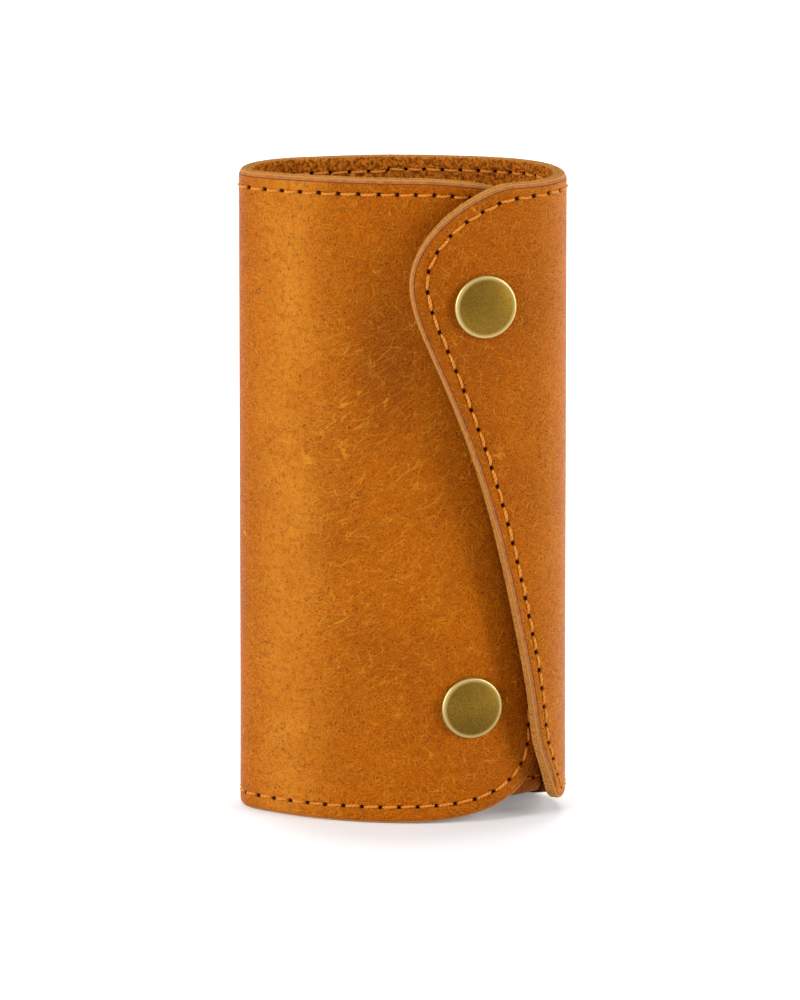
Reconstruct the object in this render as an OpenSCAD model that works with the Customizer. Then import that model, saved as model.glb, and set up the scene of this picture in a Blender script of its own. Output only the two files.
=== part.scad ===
// Rolled leather key case: one leather wrap that stands on its lower edge, with an S-edged
// flap on the right, a front panel under it, an inner tab, two snaps and six key hooks.
// The origin is on the ground, at the centre of the case's box. +X is right, -Y is the front.

/* [Case] */
// Width across the two side bends
case_w = 63; // [60:0.5:66]
// Height of the wrap
case_h = 126.5; // [120:0.5:133]
// Thickness of the outer leather
leather_t = 1.5; // [1.3:0.05:1.7]
// Thickness of the suede lining
lining_t = 1.1; // [0.9:0.05:1.3]
// Distance that the right side's widest line lies in front of the left side's
side_stagger_d = 5.4; // [5:0.1:6]
// Outer radius of the left bend towards the back
left_bend_r = 15; // [14:0.25:15.5]
// Outer radius of the right bend towards the back
right_bend_r = 20; // [19:0.25:21]
// Outer radius of the back wall
back_r = 70; // [66:1:76]
// Gap left between two pieces of leather at a fold line
fold_w = 0.3; // [0.2:0.05:0.4]

/* [Front panel] */
// Outer radius of the left bend towards the front
front_left_r = 6.7; // [6:0.1:7.5]
// Outer radius of the panel's left half
panel_r = 54; // [52:0.5:58]
// Outer radius of the panel's right half
panel_tail_r = 35.5; // [34:0.25:37.5]
// Distance that the panel bulges in front of the left bend
panel_bulge_d = 16.4; // [15.9:0.1:16.9]
// Distance from the case's right side back to the panel's free edge
panel_inset_w = 5.6; // [5.2:0.1:6.2]
// Width of the rounding at the panel's lower corner
corner_low_w = 26; // [22:1:30]
// Height of the rounding at the panel's lower corner
corner_low_h = 13.8; // [12:0.2:16]
// Width of the rounding at the panel's upper corner
corner_top_w = 24; // [20:1:28]
// Height of the rounding at the panel's upper corner
corner_top_h = 8; // [6:0.5:10]

/* [Flap] */
// Outer radius of the right bend towards the front
front_right_r = 12.2; // [11.8:0.1:12.6]
// Outer radius of the flap's front
flap_r = 47; // [45:0.5:50]
// Angle round the front right bend at which the flap folds
flap_fold_az = 47; // [45:0.5:49]
// Height of the flap's lower tip over the ground
tip_rise_h = 3.9; // [3.3:0.1:4.5]

/* [Inner tab] */
// Height of the tab's lower edge over the ground
tab_rise_h = 3.6; // [3.2:0.1:4.4]
// Height of the tab
tab_h = 35; // [32:1:38]
// Thickness of the tab's leather
tab_leather_t = 1.2; // [1:0.05:1.3]
// Thickness of the tab's lining
tab_lining_t = 0.9; // [0.7:0.05:1]
// Outer radius of the tab's fold against the side wall
tab_bend_r = 4.5; // [4:0.1:5]
// Length of the tab that is sewn to the side wall
tab_root_w = 7; // [6:0.5:9]
// Rounding of the tab's free corners
tab_corner_r = 6; // [5:0.5:8]
// Distance of the tab's free edge to the right of the case's middle
tab_reach_x = 2.2; // [1.6:0.1:3]
// Angle round the tab's bend at which the tab folds
tab_fold_az = 75; // [70:1:80]

/* [Snaps] */
// Radius of a snap cap
cap_r = 6.1; // [5.75:0.05:6.4]
// Height of a snap cap over the leather
cap_h = 1.5; // [1.2:0.05:1.8]
// Rounding of a cap's rim
cap_edge_r = 0.45; // [0.35:0.05:0.55]
// Depth that a cap is pressed into the leather
cap_sink_h = 0.35; // [0.25:0.05:0.45]
// Radius of the shanks that hold cap and socket together
cap_shank_r = 1.5; // [1.3:0.05:1.7]
// Radius of a socket's flange
socket_flange_r = 5; // [4.6:0.1:5.4]
// Thickness of a socket's flange
socket_flange_t = 0.5; // [0.4:0.05:0.6]
// Outer radius of a socket's ring
socket_ring_r = 3.6; // [3.4:0.05:3.9]
// Radius of a socket's mouth
socket_mouth_r = 2.4; // [2.3:0.05:2.6]
// Height of a socket's ring
socket_ring_h = 1.7; // [1.5:0.05:1.9]
// Radius of a stud's flange
stud_flange_r = 4; // [3.7:0.05:4.3]
// Thickness of a stud's flange
stud_flange_t = 0.45; // [0.35:0.05:0.55]
// Radius of a stud's knob
stud_r = 1.9; // [1.7:0.05:2]
// Height of a stud's knob
stud_h = 1.3; // [1.1:0.05:1.4]
// Radius of the shanks that hold the studs
stud_shank_r = 1.1; // [0.9:0.05:1.3]

/* [Key plate] */
// Distance of the plate's top edge under the rim
plate_drop_h = 11; // [9:0.25:14]
// Height of the plate above its shelf
plate_h = 10; // [9:0.5:12]
// Thickness of the plate
plate_t = 0.8; // [0.6:0.05:1]
// Distance from the plate's back to the hook rod
shelf_d = 5; // [4.8:0.1:5.6]
// Distance of the plate's middle to the left of the case's middle
plate_shift_x = 2; // [1:0.25:3]
// Radius of the hook rod
rod_r = 0.9; // [0.8:0.05:1]
// Radius of the plate's knuckles
knuckle_r = 1.8; // [1.6:0.05:2]
// Distance between the plate's two rivets
rivet_span_w = 26; // [24:0.5:28]
// Radius of a rivet's shank
rivet_shank_r = 1.2; // [1:0.05:1.4]
// Radius of a rivet's head on the plate
rivet_head_r = 2.4; // [2.1:0.05:2.7]
// Radius of a rivet's cap on the back
rivet_cap_r = 3.5; // [3.2:0.05:3.8]
// Height of a rivet's cap
rivet_cap_h = 1.1; // [0.9:0.05:1.3]

/* [Key hooks] */
// Distance from one hook to the next
hook_pitch = 5.6; // [5.4:0.05:5.8]
// Thickness of a hook
hook_t = 1.6; // [1.4:0.05:1.7]
// Width of a hook's bar
hook_bar_w = 1.4; // [1.2:0.05:1.5]
// Outer radius of a hook's bow
hook_bow_r = 4.2; // [4.1:0.05:4.4]
// Length of a hook from the rod to the bottom of its bow
hook_h = 23; // [22:0.5:25]
// Outer radius of a hook's eye
eye_r = 2; // [1.9:0.05:2.2]
// Thickness of a hook's gate
gate_t = 0.8; // [0.7:0.05:0.9]

/* [Stitching] */
// Distance from one stitch to the next
stitch_pitch = 3.875; // [3.6:0.025:4.1]
// Length of the thread that shows in one stitch
stitch_w = 2.8; // [2.5:0.05:3]
// Radius of the thread
thread_r = 0.35; // [0.3:0.01:0.4]
// Distance from a row of stitches to the leather's edge
stitch_inset_w = 3.3; // [3:0.05:3.5]

/* [Hidden] */
$fn = 96;

wall_t = leather_t + lining_t;
tab_t = tab_leather_t + tab_lining_t;
overrun_w = 20;
// The key hooks are six named pieces.
hook_count = 6;
// Running clearance between a shank or rod and its hole
fit_r = 0.05;
// Clearance round a piece that is pressed flat into leather
seat_w = 0.1;
// Clearance between a socket's ring and the stud's flange
mating_w = 0.15;
// Height of thread above the leather under it
thread_lift_h = 0.03;
// Depths that a stud's and a socket's flange are let into the leather's curve
stud_sink_h = 0.12;
socket_sink_h = 0.12;
socket_seat_d = wall_t - socket_sink_h;
// Leather-to-leather distance that a closed snap keeps
snap_gap_w = socket_flange_t + socket_ring_h + mating_w + stud_flange_t - stud_sink_h
    - socket_sink_h;

// An angle az is measured on the plan from the front, -Y, towards the right, +X.
function dir(az) = [sin(az), -cos(az)];
function az_of(v) = atan2(v[0], -v[1]);
function turned(a) = a < 0 ? a + 360 : a;
// The point at distances d1 and d2 from two centres, on the right of the line when side is 1
function meet(c1, d1, c2, d2, side) =
    let (v = c2 - c1, d = norm(v), e = v / d, x = (d * d + d1 * d1 - d2 * d2) / (2 * d))
    c1 + x * e + side * sqrt(d1 * d1 - x * x) * [e[1], -e[0]];
// Distance from point p along unit vector u to the near side of a circle
function to_circle(p, u, c, r) =
    let (w = c - p, k = w * u)
    k - sqrt(r * r - (w * w - k * k));

// The plan is first laid out from the left side's widest line, and then centred.
plan_left_c = [-case_w / 2 + left_bend_r, 0];
plan_right_c = [case_w / 2 - right_bend_r, -side_stagger_d];
plan_back_c = meet(plan_left_c, back_r - left_bend_r, plan_right_c, back_r - right_bend_r, 1);
// The snaps' places, as shares of the half width and of the height
upper_snap_shares = [0.501, 0.813];
lower_snap_shares = [0.427, 0.183];
upper_snap_x = upper_snap_shares[0] * case_w / 2;
lower_snap_x = lower_snap_shares[0] * case_w / 2;
upper_snap_z = upper_snap_shares[1] * case_h;
lower_snap_z = lower_snap_shares[1] * case_h;
plan_panel_y = panel_r - panel_bulge_d;
plan_panel_c = [-case_w / 2 + front_left_r
    + sqrt(pow(panel_r - front_left_r, 2) - pow(plan_panel_y, 2)), plan_panel_y];
plan_tail_c = [plan_panel_c[0], panel_tail_r - panel_bulge_d];
plan_front_right_c = [case_w / 2 - front_right_r, -side_stagger_d];
flap_out = panel_tail_r + snap_gap_w + wall_t;
plan_snap = plan_tail_c + flap_out * dir(asin((upper_snap_x - plan_tail_c[0]) / flap_out));
plan_flap_c = meet(plan_front_right_c, flap_r - front_right_r, plan_snap, flap_r, 1);
row_rise_h = 2 * thread_r + thread_lift_h;
plan_back_y = plan_back_c[1] + back_r + row_rise_h;
plan_front_y = plan_flap_c[1] - flap_r - row_rise_h;
centring = [0, -(plan_back_y + plan_front_y) / 2];

left_c = plan_left_c + centring;
right_c = plan_right_c + centring;
back_c = plan_back_c + centring;
front_left_c = [-case_w / 2 + front_left_r, centring[1]];
panel_c = plan_panel_c + centring;
tail_c = plan_tail_c + centring;
front_right_c = plan_front_right_c + centring;
flap_c = plan_flap_c + centring;

back_right_az = az_of(right_c - back_c);
back_left_az = turned(az_of(left_c - back_c));
front_left_az = az_of(front_left_c - panel_c);
flap_join_az = az_of(front_right_c - flap_c);
panel_tip_x = case_w / 2 - panel_inset_w;
panel_tip_az = asin((panel_tip_x - tail_c[0]) / panel_tail_r);
lobe_reach_share = 0.042;
lobe_az = asin((lobe_reach_share * case_w / 2 - flap_c[0]) / flap_r) - 2;
flap_gap_az = fold_w / front_right_r * 180 / PI;
panel_gap_az = fold_w / front_left_r * 180 / PI;

// Each wall is a chain of arcs: centre, outer radius, first angle and last angle.
back_arcs = [
    [front_right_c, front_right_r, flap_fold_az, 90],
    [right_c, right_bend_r, 90, back_right_az],
    [back_c, back_r, back_right_az, back_left_az],
    [left_c, left_bend_r, back_left_az, 270]];
panel_arcs = [
    [front_left_c, front_left_r, -90 + panel_gap_az, front_left_az],
    [panel_c, panel_r, front_left_az, 0],
    [tail_c, panel_tail_r, 0, panel_tip_az]];
flap_arcs = [
    [flap_c, flap_r, lobe_az, flap_join_az],
    [front_right_c, front_right_r, flap_join_az, flap_fold_az - flap_gap_az]];

// The tab runs level with the panel's inside, then folds back along the side wall.
tab_r = panel_tail_r - wall_t - snap_gap_w;
side_in_r = right_bend_r - wall_t;
tab_bend_c = meet(tail_c, tab_r - tab_bend_r, right_c, side_in_r - tab_bend_r, -1);
tab_bend_az = az_of(tab_bend_c - tail_c);
tab_root_az = az_of(tab_bend_c - right_c);
tab_end_az = tab_root_az + tab_root_w / side_in_r * 180 / PI;
tab_free_az = asin((tab_reach_x - tail_c[0]) / tab_r);
tab_gap_az = fold_w / tab_bend_r * 180 / PI;
tab_arcs = [
    [tail_c, tab_r, tab_free_az, tab_bend_az],
    [tab_bend_c, tab_bend_r, tab_bend_az, tab_fold_az - tab_gap_az]];
tab_base_arcs = [
    [tab_bend_c, tab_bend_r, tab_fold_az, tab_root_az],
    [right_c, side_in_r, tab_root_az, tab_end_az]];

// A snap's frame: its place on the outermost leather's face, and the way that it faces
upper_az = az_of(plan_snap - plan_flap_c);
upper_frame = [plan_snap[0], plan_snap[1] + centring[1], upper_snap_z, upper_az];
upper_drop = to_circle([upper_frame[0], upper_frame[1]], -dir(upper_az), tail_c, panel_tail_r);
lower_az = asin((lower_snap_x - tail_c[0]) / panel_tail_r);
lower_point = tail_c + panel_tail_r * dir(lower_az);
lower_frame = [lower_point[0], lower_point[1], lower_snap_z, lower_az];
lower_drop = wall_t + snap_gap_w;

// Each arc runs this angle into the next one, so that the wall is one piece.
arc_lap = 0.1;

// One arc of a wall, as thick as its leather
module arc_band(arc, inset, t) {
    far = 2 * arc[1];
    last = arc[3] + arc_lap;
    middle = (arc[2] + last) / 2;
    translate(arc[0])
        intersection() {
            difference() {
                circle(arc[1] - inset, $fn = 360);
                circle(arc[1] - inset - t, $fn = 360);
            }
            polygon([[0, 0], far * dir(arc[2]), far * dir((arc[2] + middle) / 2),
                far * dir(middle), far * dir((middle + last) / 2), far * dir(last)]);
        }
}

module wall(arcs, inset, t, z = 0, h = case_h)
    translate([0, 0, z])
        linear_extrude(h)
            for (arc = arcs) arc_band(arc, inset, t);

// Cuts everything between two planes across Y, over an outline in X and Z
module across(y_from, y_to, points)
    translate([0, y_to, 0])
        rotate([90, 0, 0])
            linear_extrude(y_to - y_from)
                polygon(points);

module on_frame(f)
    translate([f[0], f[1], f[2]])
        rotate([0, 0, f[3]])
            rotate([90, 0, 0])
                children();

function bezier(p, steps) = [for (i = [0 : steps - 1]) let (t = i / steps, s = 1 - t)
    s * s * s * p[0] + 3 * s * s * t * p[1] + 3 * s * t * t * p[2] + t * t * t * p[3]];

// The flap's S-shaped edge, as shares of the half width and of the height: a round lobe at
// the top, a long sweep down to the right, and a rounded tip low on the side
lobe_shares = [[0.644, 1], [0.374, 0.991], [lobe_reach_share, 0.921], [lobe_reach_share, 0.85]];
sweep_shares = [[lobe_reach_share, 0.85], [lobe_reach_share, 0.796], [0.17, 0.754], [0.365, 0.623]];
fall_shares = [[0.365, 0.623], [0.601, 0.465], [0.743, 0.24], [0.766, 0.191]];
tip_shares = [[0.766, 0.191], [0.829, 0.058], [0.896, 0.0308], [0.967, 0.0308]];
function edge_points(shares, steps) =
    [for (p = bezier(shares, steps)) [p[0] * case_w / 2, p[1] * case_h]];
tip_point = [tip_shares[3][0] * case_w / 2, tip_rise_h];
side_share = 0.95;
s_edge = concat(edge_points(lobe_shares, 14), edge_points(sweep_shares, 10),
    edge_points(fall_shares, 8), edge_points(tip_shares, 8), [tip_point]);

// Everything in front of the S edge and below the tip
module beyond_s_edge()
    across(-case_w, front_right_c[1] + fit_r,
        concat([[-case_w, case_h + overrun_w], [s_edge[0][0], case_h + overrun_w]], s_edge,
            [[case_w / 2, tip_rise_h * side_share], [case_w, tip_rise_h * side_share],
             [case_w, -overrun_w], [-case_w, -overrun_w]]));

rise_share = 0.8;
rise_w = rise_share * right_bend_r;
// The side wall's lower edge rises from the back towards the flap's tip
module side_rise()
    rotate([90, 0, 90])
        linear_extrude(case_w)
            polygon(concat([[front_right_c[1], -overrun_w]],
                [for (i = [0 : 10]) [front_right_c[1] + rise_w * i / 10,
                    tip_rise_h * side_share * (1 + cos(180 * i / 10)) / 2]],
                [[front_right_c[1] + rise_w, -overrun_w]]));

// The front panel's outline, with an elliptic rounding at each free corner
function corner(w, h, from, to, steps) =
    [for (i = [0 : steps]) let (a = from + (to - from) * i / steps) [w * cos(a), h * sin(a)]];
panel_low = [for (p = corner(corner_low_w, corner_low_h, -90, 0, 14))
    [panel_tip_x - corner_low_w + p[0], corner_low_h + p[1]]];
panel_high = [for (p = corner(corner_top_w, corner_top_h, 0, 90, 12))
    [panel_tip_x - corner_top_w + p[0], case_h - corner_top_h + p[1]]];
module beyond_panel()
    difference() {
        across(-case_w, case_w, [[-overrun_w, -overrun_w], [case_w, -overrun_w],
            [case_w, case_h + overrun_w], [-overrun_w, case_h + overrun_w]]);
        across(-2 * case_w, 2 * case_w, concat([[-case_w, 0]], panel_low, panel_high,
            [[-case_w, case_h]]));
    }

module beyond_tab()
    for (end = [0, 1])
        translate([0, 0, tab_rise_h + end * tab_h])
            mirror([0, 0, end])
                across(-case_w, tail_c[1], concat([[tab_reach_x - tab_corner_r, -tab_corner_r],
                    [tab_reach_x - tab_corner_r, tab_corner_r]],
                    [for (i = [0 : 8]) let (a = 180 + 90 * i / 8)
                        [tab_reach_x + tab_corner_r * (1 + cos(a)), tab_corner_r * (1 + sin(a))]],
                    [[tab_reach_x + tab_corner_r, -tab_corner_r]]));

// Snap hardware, drawn on its own frame: 0 is the outer leather's face, and +Z faces out.
function dome_r(r, h) = (r * r + h * h) / (2 * h);

module snap_cap(drop_t) {
    rim = 2 * cap_edge_r;
    top = cap_h + cap_sink_h;
    translate([0, 0, -cap_sink_h])
        rotate_extrude() {
            square([cap_r - cap_edge_r, rim]);
            translate([cap_r - cap_edge_r, cap_edge_r])
                intersection() {
                    circle(cap_edge_r, $fn = 32);
                    translate([0, -cap_edge_r]) square([cap_edge_r, rim]);
                }
            translate([0, rim])
                intersection() {
                    translate([0, top - rim - dome_r(cap_r - cap_edge_r, top - rim)])
                        circle(dome_r(cap_r - cap_edge_r, top - rim), $fn = 360);
                    square([cap_r, cap_h]);
                }
        }
    head_z = -drop_t - socket_flange_t;
    head_r = (cap_shank_r + socket_mouth_r) / 2;
    head_t = socket_flange_t / 2;
    translate([0, 0, head_z - head_t]) {
        cylinder(r = cap_shank_r, h = head_t - head_z);
        cylinder(r = head_r, h = head_t);
    }
}

module snap_socket(drop_t, ring_h)
    translate([0, 0, -drop_t])
        difference() {
            union() {
                translate([0, 0, -socket_flange_t])
                    cylinder(r = socket_flange_r, h = socket_flange_t);
                translate([0, 0, -socket_flange_t - ring_h])
                    cylinder(r = socket_ring_r, h = ring_h + socket_flange_t);
            }
            translate([0, 0, -overrun_w]) cylinder(r = cap_shank_r + fit_r, h = 2 * overrun_w);
            translate([0, 0, -overrun_w - socket_flange_t])
                cylinder(r = socket_mouth_r, h = overrun_w);
        }

// A stud stands on its flange. Here 0 is the face of the leather that carries it.
module snap_stud()
    translate([0, 0, -stud_sink_h])
        difference() {
            union() {
                cylinder(r = stud_flange_r, h = stud_flange_t);
                translate([0, 0, stud_flange_t])
                    intersection() {
                        translate([0, 0, stud_h - dome_r(stud_r, stud_h)])
                            sphere(dome_r(stud_r, stud_h));
                        cylinder(r = stud_r, h = stud_h);
                    }
            }
            translate([0, 0, -overrun_w]) cylinder(r = stud_shank_r + fit_r, h = overrun_w + stud_hollow);
        }
stud_hollow = stud_flange_t + stud_h / 3;

module stud_post(carrier_t) {
    foot = -carrier_t + stud_sink_h - stud_flange_t;
    translate([0, 0, foot]) {
        cylinder(r = stud_shank_r, h = stud_hollow - stud_sink_h - foot - fit_r);
        cylinder(r = stud_flange_r, h = stud_flange_t);
    }
}

// Cuts for a cap on the outside and a socket on the inside of a wall
module cap_cuts(f, drop_t)
    on_frame(f) {
        translate([0, 0, -overrun_w]) cylinder(r = cap_shank_r + fit_r, h = 2 * overrun_w);
        translate([0, 0, -cap_sink_h]) cylinder(r = cap_r + seat_w, h = overrun_w);
        translate([0, 0, -drop_t - overrun_w])
            cylinder(r = socket_flange_r + seat_w, h = overrun_w);
    }

// Cuts for a stud on the outside and its post's head on the inside of a wall
module stud_cuts(f, drop, carrier_t)
    on_frame(f)
        translate([0, 0, -drop]) {
            translate([0, 0, -overrun_w]) cylinder(r = stud_shank_r + fit_r, h = 2 * overrun_w);
            translate([0, 0, -stud_sink_h]) cylinder(r = stud_flange_r + seat_w, h = overrun_w);
            translate([0, 0, -carrier_t + stud_sink_h - overrun_w])
                cylinder(r = stud_flange_r + seat_w, h = overrun_w);
        }

// The key plate's place against the curved back wall
wall_in_r = back_r - wall_t;
knuckle_w = hook_pitch - hook_t - 4 * seat_w;
plate_w = hook_count * hook_pitch + knuckle_w;
left_join_x = back_c[0] + wall_in_r * sin(back_left_az);
right_join_x = back_c[0] + wall_in_r * sin(back_right_az);
function on_arc(c, r, x) = c[1] + sqrt(pow(r, 2) - pow(x - c[0], 2));
function wall_y(x) = x < left_join_x ? on_arc(left_c, left_bend_r - wall_t, x)
    : x > right_join_x ? on_arc(right_c, right_bend_r - wall_t, x) : on_arc(back_c, wall_in_r, x);
plate_back_y = min(wall_y(-plate_shift_x - plate_w / 2), wall_y(-plate_shift_x + plate_w / 2))
    - seat_w;
plate_top_z = case_h - plate_drop_h;
rod_y = plate_back_y - shelf_d;
shelf_z = plate_top_z - plate_h;
rod_z = shelf_z - knuckle_r;
rivet_height_share = 0.6;
rivet_z = shelf_z + plate_h * rivet_height_share;
function rivet_x(side) = -plate_shift_x + side * rivet_span_w / 2;
function hook_x(i) = -plate_shift_x + (i - (hook_count + 1) / 2) * hook_pitch;
function back_out_y(x) = on_arc(back_c, back_r, x);
rivet_sink_h = 0.1;
rivet_crown_share = 0.7;
rivet_crown_h = rivet_cap_h * rivet_crown_share;

// Draws children along a rivet, with 0 on the back wall's outer face and +Z facing back
module on_rivets()
    for (side = [-1, 1])
        translate([rivet_x(side), back_out_y(rivet_x(side)) - rivet_sink_h, rivet_z])
            rotate([-90, 0, 0])
                children();

module rivet_cuts()
    on_rivets() {
        translate([0, 0, -overrun_w]) cylinder(r = rivet_shank_r + fit_r, h = 2 * overrun_w);
        cylinder(r = rivet_cap_r + seat_w, h = overrun_w);
    }

module back_skin(inset, t)
    difference() {
        wall(back_arcs, inset, t);
        beyond_s_edge();
        side_rise();
        rivet_cuts();
    }
module back_leather() color("chocolate") back_skin(0, leather_t);
module back_lining() color("peru") back_skin(leather_t, lining_t);

module panel_skin(inset, t)
    difference() {
        wall(panel_arcs, inset, t);
        beyond_panel();
        stud_cuts(upper_frame, upper_drop, wall_t);
        cap_cuts(lower_frame, socket_seat_d);
    }
module panel_leather() color("chocolate") panel_skin(0, leather_t);
module panel_lining() color("peru") panel_skin(leather_t, lining_t);

module flap_skin(inset, t)
    difference() {
        wall(flap_arcs, inset, t);
        beyond_s_edge();
        cap_cuts(upper_frame, socket_seat_d);
    }
module flap_leather() color("chocolate") flap_skin(0, leather_t);
module flap_lining() color("peru") flap_skin(leather_t, lining_t);

module tab_skin(inset, t)
    difference() {
        wall(tab_arcs, inset, t, tab_rise_h, tab_h);
        beyond_tab();
        stud_cuts(lower_frame, lower_drop, tab_t);
    }
module tab_base_skin(inset, t) wall(tab_base_arcs, inset, t, tab_rise_h, tab_h);
module tab_leather() color("sienna") tab_skin(0, tab_leather_t);
module tab_lining() color("peru") tab_skin(tab_leather_t, tab_lining_t);
module tab_base_leather() color("sienna") tab_base_skin(0, tab_leather_t);
module tab_base_lining() color("peru") tab_base_skin(tab_leather_t, tab_lining_t);

module upper_snap_cap() color("darkkhaki") on_frame(upper_frame) snap_cap(socket_seat_d);
module lower_snap_cap() color("darkkhaki") on_frame(lower_frame) snap_cap(socket_seat_d);
upper_ring_h = upper_drop - socket_seat_d - socket_flange_t - mating_w - stud_flange_t
    + stud_sink_h;
module upper_snap_socket()
    color("darkgoldenrod") on_frame(upper_frame) snap_socket(socket_seat_d, upper_ring_h);
module lower_snap_socket()
    color("darkgoldenrod") on_frame(lower_frame) snap_socket(socket_seat_d, socket_ring_h);
module on_upper_stud() on_frame(upper_frame) translate([0, 0, -upper_drop]) children();
module on_lower_stud() on_frame(lower_frame) translate([0, 0, -lower_drop]) children();
module upper_snap_stud() color("darkgoldenrod") on_upper_stud() snap_stud();
module lower_snap_stud() color("darkgoldenrod") on_lower_stud() snap_stud();
module upper_stud_post() color("darkgoldenrod") on_upper_stud() stud_post(wall_t);
module lower_stud_post() color("darkgoldenrod") on_lower_stud() stud_post(tab_t);

module key_plate()
    color("darkkhaki")
        difference() {
            union() {
                translate([-plate_shift_x - plate_w / 2, plate_back_y - plate_t, shelf_z - plate_t])
                    cube([plate_w, plate_t, plate_h + plate_t]);
                translate([-plate_shift_x - plate_w / 2, rod_y, shelf_z - plate_t])
                    cube([plate_w, shelf_d, plate_t]);
                translate([-plate_shift_x - plate_w / 2, rod_y, rod_z])
                    rotate([0, 90, 0])
                        cylinder(r = knuckle_r, h = plate_w);
            }
            translate([-overrun_w - plate_w, rod_y, rod_z])
                rotate([0, 90, 0])
                    cylinder(r = rod_r + fit_r / 2, h = 2 * (overrun_w + plate_w));
            for (i = [1 : hook_count])
                translate([hook_x(i) - hook_t / 2 - 2 * seat_w, rod_y - overrun_w, shelf_z - overrun_w])
                    cube([hook_t + 4 * seat_w, overrun_w + eye_r + 4 * seat_w, 2 * overrun_w]);
            on_rivets()
                translate([0, 0, -overrun_w]) cylinder(r = rivet_shank_r + fit_r, h = 2 * overrun_w);
        }

module hook_rod()
    color("silver")
        translate([-plate_shift_x - plate_w / 2, rod_y, rod_z])
            rotate([0, 90, 0])
                cylinder(r = rod_r, h = plate_w);

module plate_rivets()
    color("darkkhaki")
        for (side = [-1, 1])
            translate([rivet_x(side), plate_back_y - plate_t, rivet_z])
                rotate([-90, 0, 0]) {
                    cylinder(r = rivet_shank_r,
                        h = back_out_y(rivet_x(side)) - rivet_sink_h - plate_back_y + plate_t);
                    translate([0, 0, -plate_t]) cylinder(r = rivet_head_r, h = plate_t);
                }

module rivet_caps()
    color("darkkhaki")
        on_rivets()
            intersection() {
                translate([0, 0, rivet_cap_h - dome_r(rivet_cap_r, rivet_crown_h)])
                    sphere(dome_r(rivet_cap_r, rivet_crown_h));
                cylinder(r = rivet_cap_r, h = rivet_cap_h);
            }

// A key hook on its own frame: the rod's axis is the origin, -Y is the open side.
bow_z = -hook_h + hook_bow_r;
bow_in_r = hook_bow_r - hook_bar_w;
hook_neck_z = -eye_r - hook_bar_w;
tip_h = 3 * hook_bar_w;
gate_y = -bow_in_r + seat_w;
gate_foot_z = bow_z + tip_h / 2;
gate_root_z = hook_neck_z - 2 * hook_bar_w;

module hook_outline()
    difference() {
        union() {
            circle(eye_r, $fn = 48);
            translate([0, bow_z])
                difference() {
                    circle(hook_bow_r, $fn = 96);
                    circle(bow_in_r, $fn = 96);
                    translate([-hook_bow_r, 0]) square([2 * hook_bow_r, hook_bow_r]);
                }
            translate([bow_in_r, bow_z]) square([hook_bar_w, gate_root_z - bow_z]);
            translate([-hook_bow_r, bow_z]) square([hook_bar_w, tip_h]);
            polygon([[-hook_bar_w / 2, -eye_r / 2], [-hook_bar_w / 2, hook_neck_z],
                [gate_y, gate_root_z + hook_bar_w], [gate_y, gate_root_z + seat_w],
                [0, hook_neck_z - hook_bar_w], [bow_in_r, gate_root_z],
                [hook_bow_r, gate_root_z], [hook_bar_w, hook_neck_z],
                [hook_bar_w, -eye_r / 2]]);
        }
        circle(rod_r + fit_r, $fn = 48);
    }

gate_pivot = [gate_y + gate_t / 2, gate_root_z - gate_t / 2];
module gate_outline() {
    translate([gate_y, gate_foot_z]) square([gate_t, gate_pivot[1] - gate_foot_z]);
    translate(gate_pivot) circle(gate_t / 2, $fn = 32);
}

module on_hook(i)
    translate([hook_x(i), rod_y, rod_z])
        rotate([90, 0, 90])
            children();

module key_hook(i)
    color("silver")
        on_hook(i)
            translate([0, 0, -hook_t / 2])
                linear_extrude(hook_t) hook_outline();

module hook_gate(i)
    color("gainsboro")
        on_hook(i)
            translate([0, 0, -hook_t / 2 + seat_w])
                linear_extrude(hook_t - 2 * seat_w) gate_outline();

// Stitches follow a path whose points hold a place and the way that the leather faces there.
function arc_path(arc, inset, z, from, to, steps) =
    [for (i = [0 : steps]) let (a = from + (to - from) * i / steps,
        p = arc[0] + (arc[1] - inset) * dir(a)) [p[0], p[1], z, a]];
function place(q) = [q[0], q[1], q[2]];
function lengths(path, i = 0, sum = 0) = i >= len(path) - 1 ? [sum]
    : concat([sum], lengths(path, i + 1, sum + norm(place(path[i + 1]) - place(path[i]))));
function segment_at(sums, l, i = 0) =
    i >= len(sums) - 2 || sums[i + 1] > l ? i : segment_at(sums, l, i + 1);

module stitches(path, margin = 0) {
    sums = lengths(path);
    total = sums[len(sums) - 1] - 2 * margin;
    count = floor(total / stitch_pitch);
    first = margin + (total - (count - 1) * stitch_pitch) / 2;
    for (n = [0 : count - 1]) {
        l = first + n * stitch_pitch;
        i = segment_at(sums, l);
        share = (l - sums[i]) / (sums[i + 1] - sums[i]);
        q = path[i] + share * (path[i + 1] - path[i]);
        v = place(path[i + 1]) - place(path[i]);
        out = thread_r + thread_lift_h;
        translate([q[0] + out * sin(q[3]), q[1] - out * cos(q[3]), q[2]])
            rotate([0, acos(v[2] / norm(v)), atan2(v[1], v[0])])
                cylinder(r = thread_r, h = stitch_w, center = true, $fn = 16);
    }
}

function row(arcs, z) = [for (arc = arcs) each arc_path(arc, 0, z, arc[2], arc[3], 24)];

module back_stitching()
    color("sandybrown") {
        stitches(row(back_arcs, case_h - stitch_inset_w), thread_r);
        stitches(row([for (i = [1 : 3]) back_arcs[i]], stitch_inset_w + tip_rise_h * side_share),
            thread_r);
    }

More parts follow.
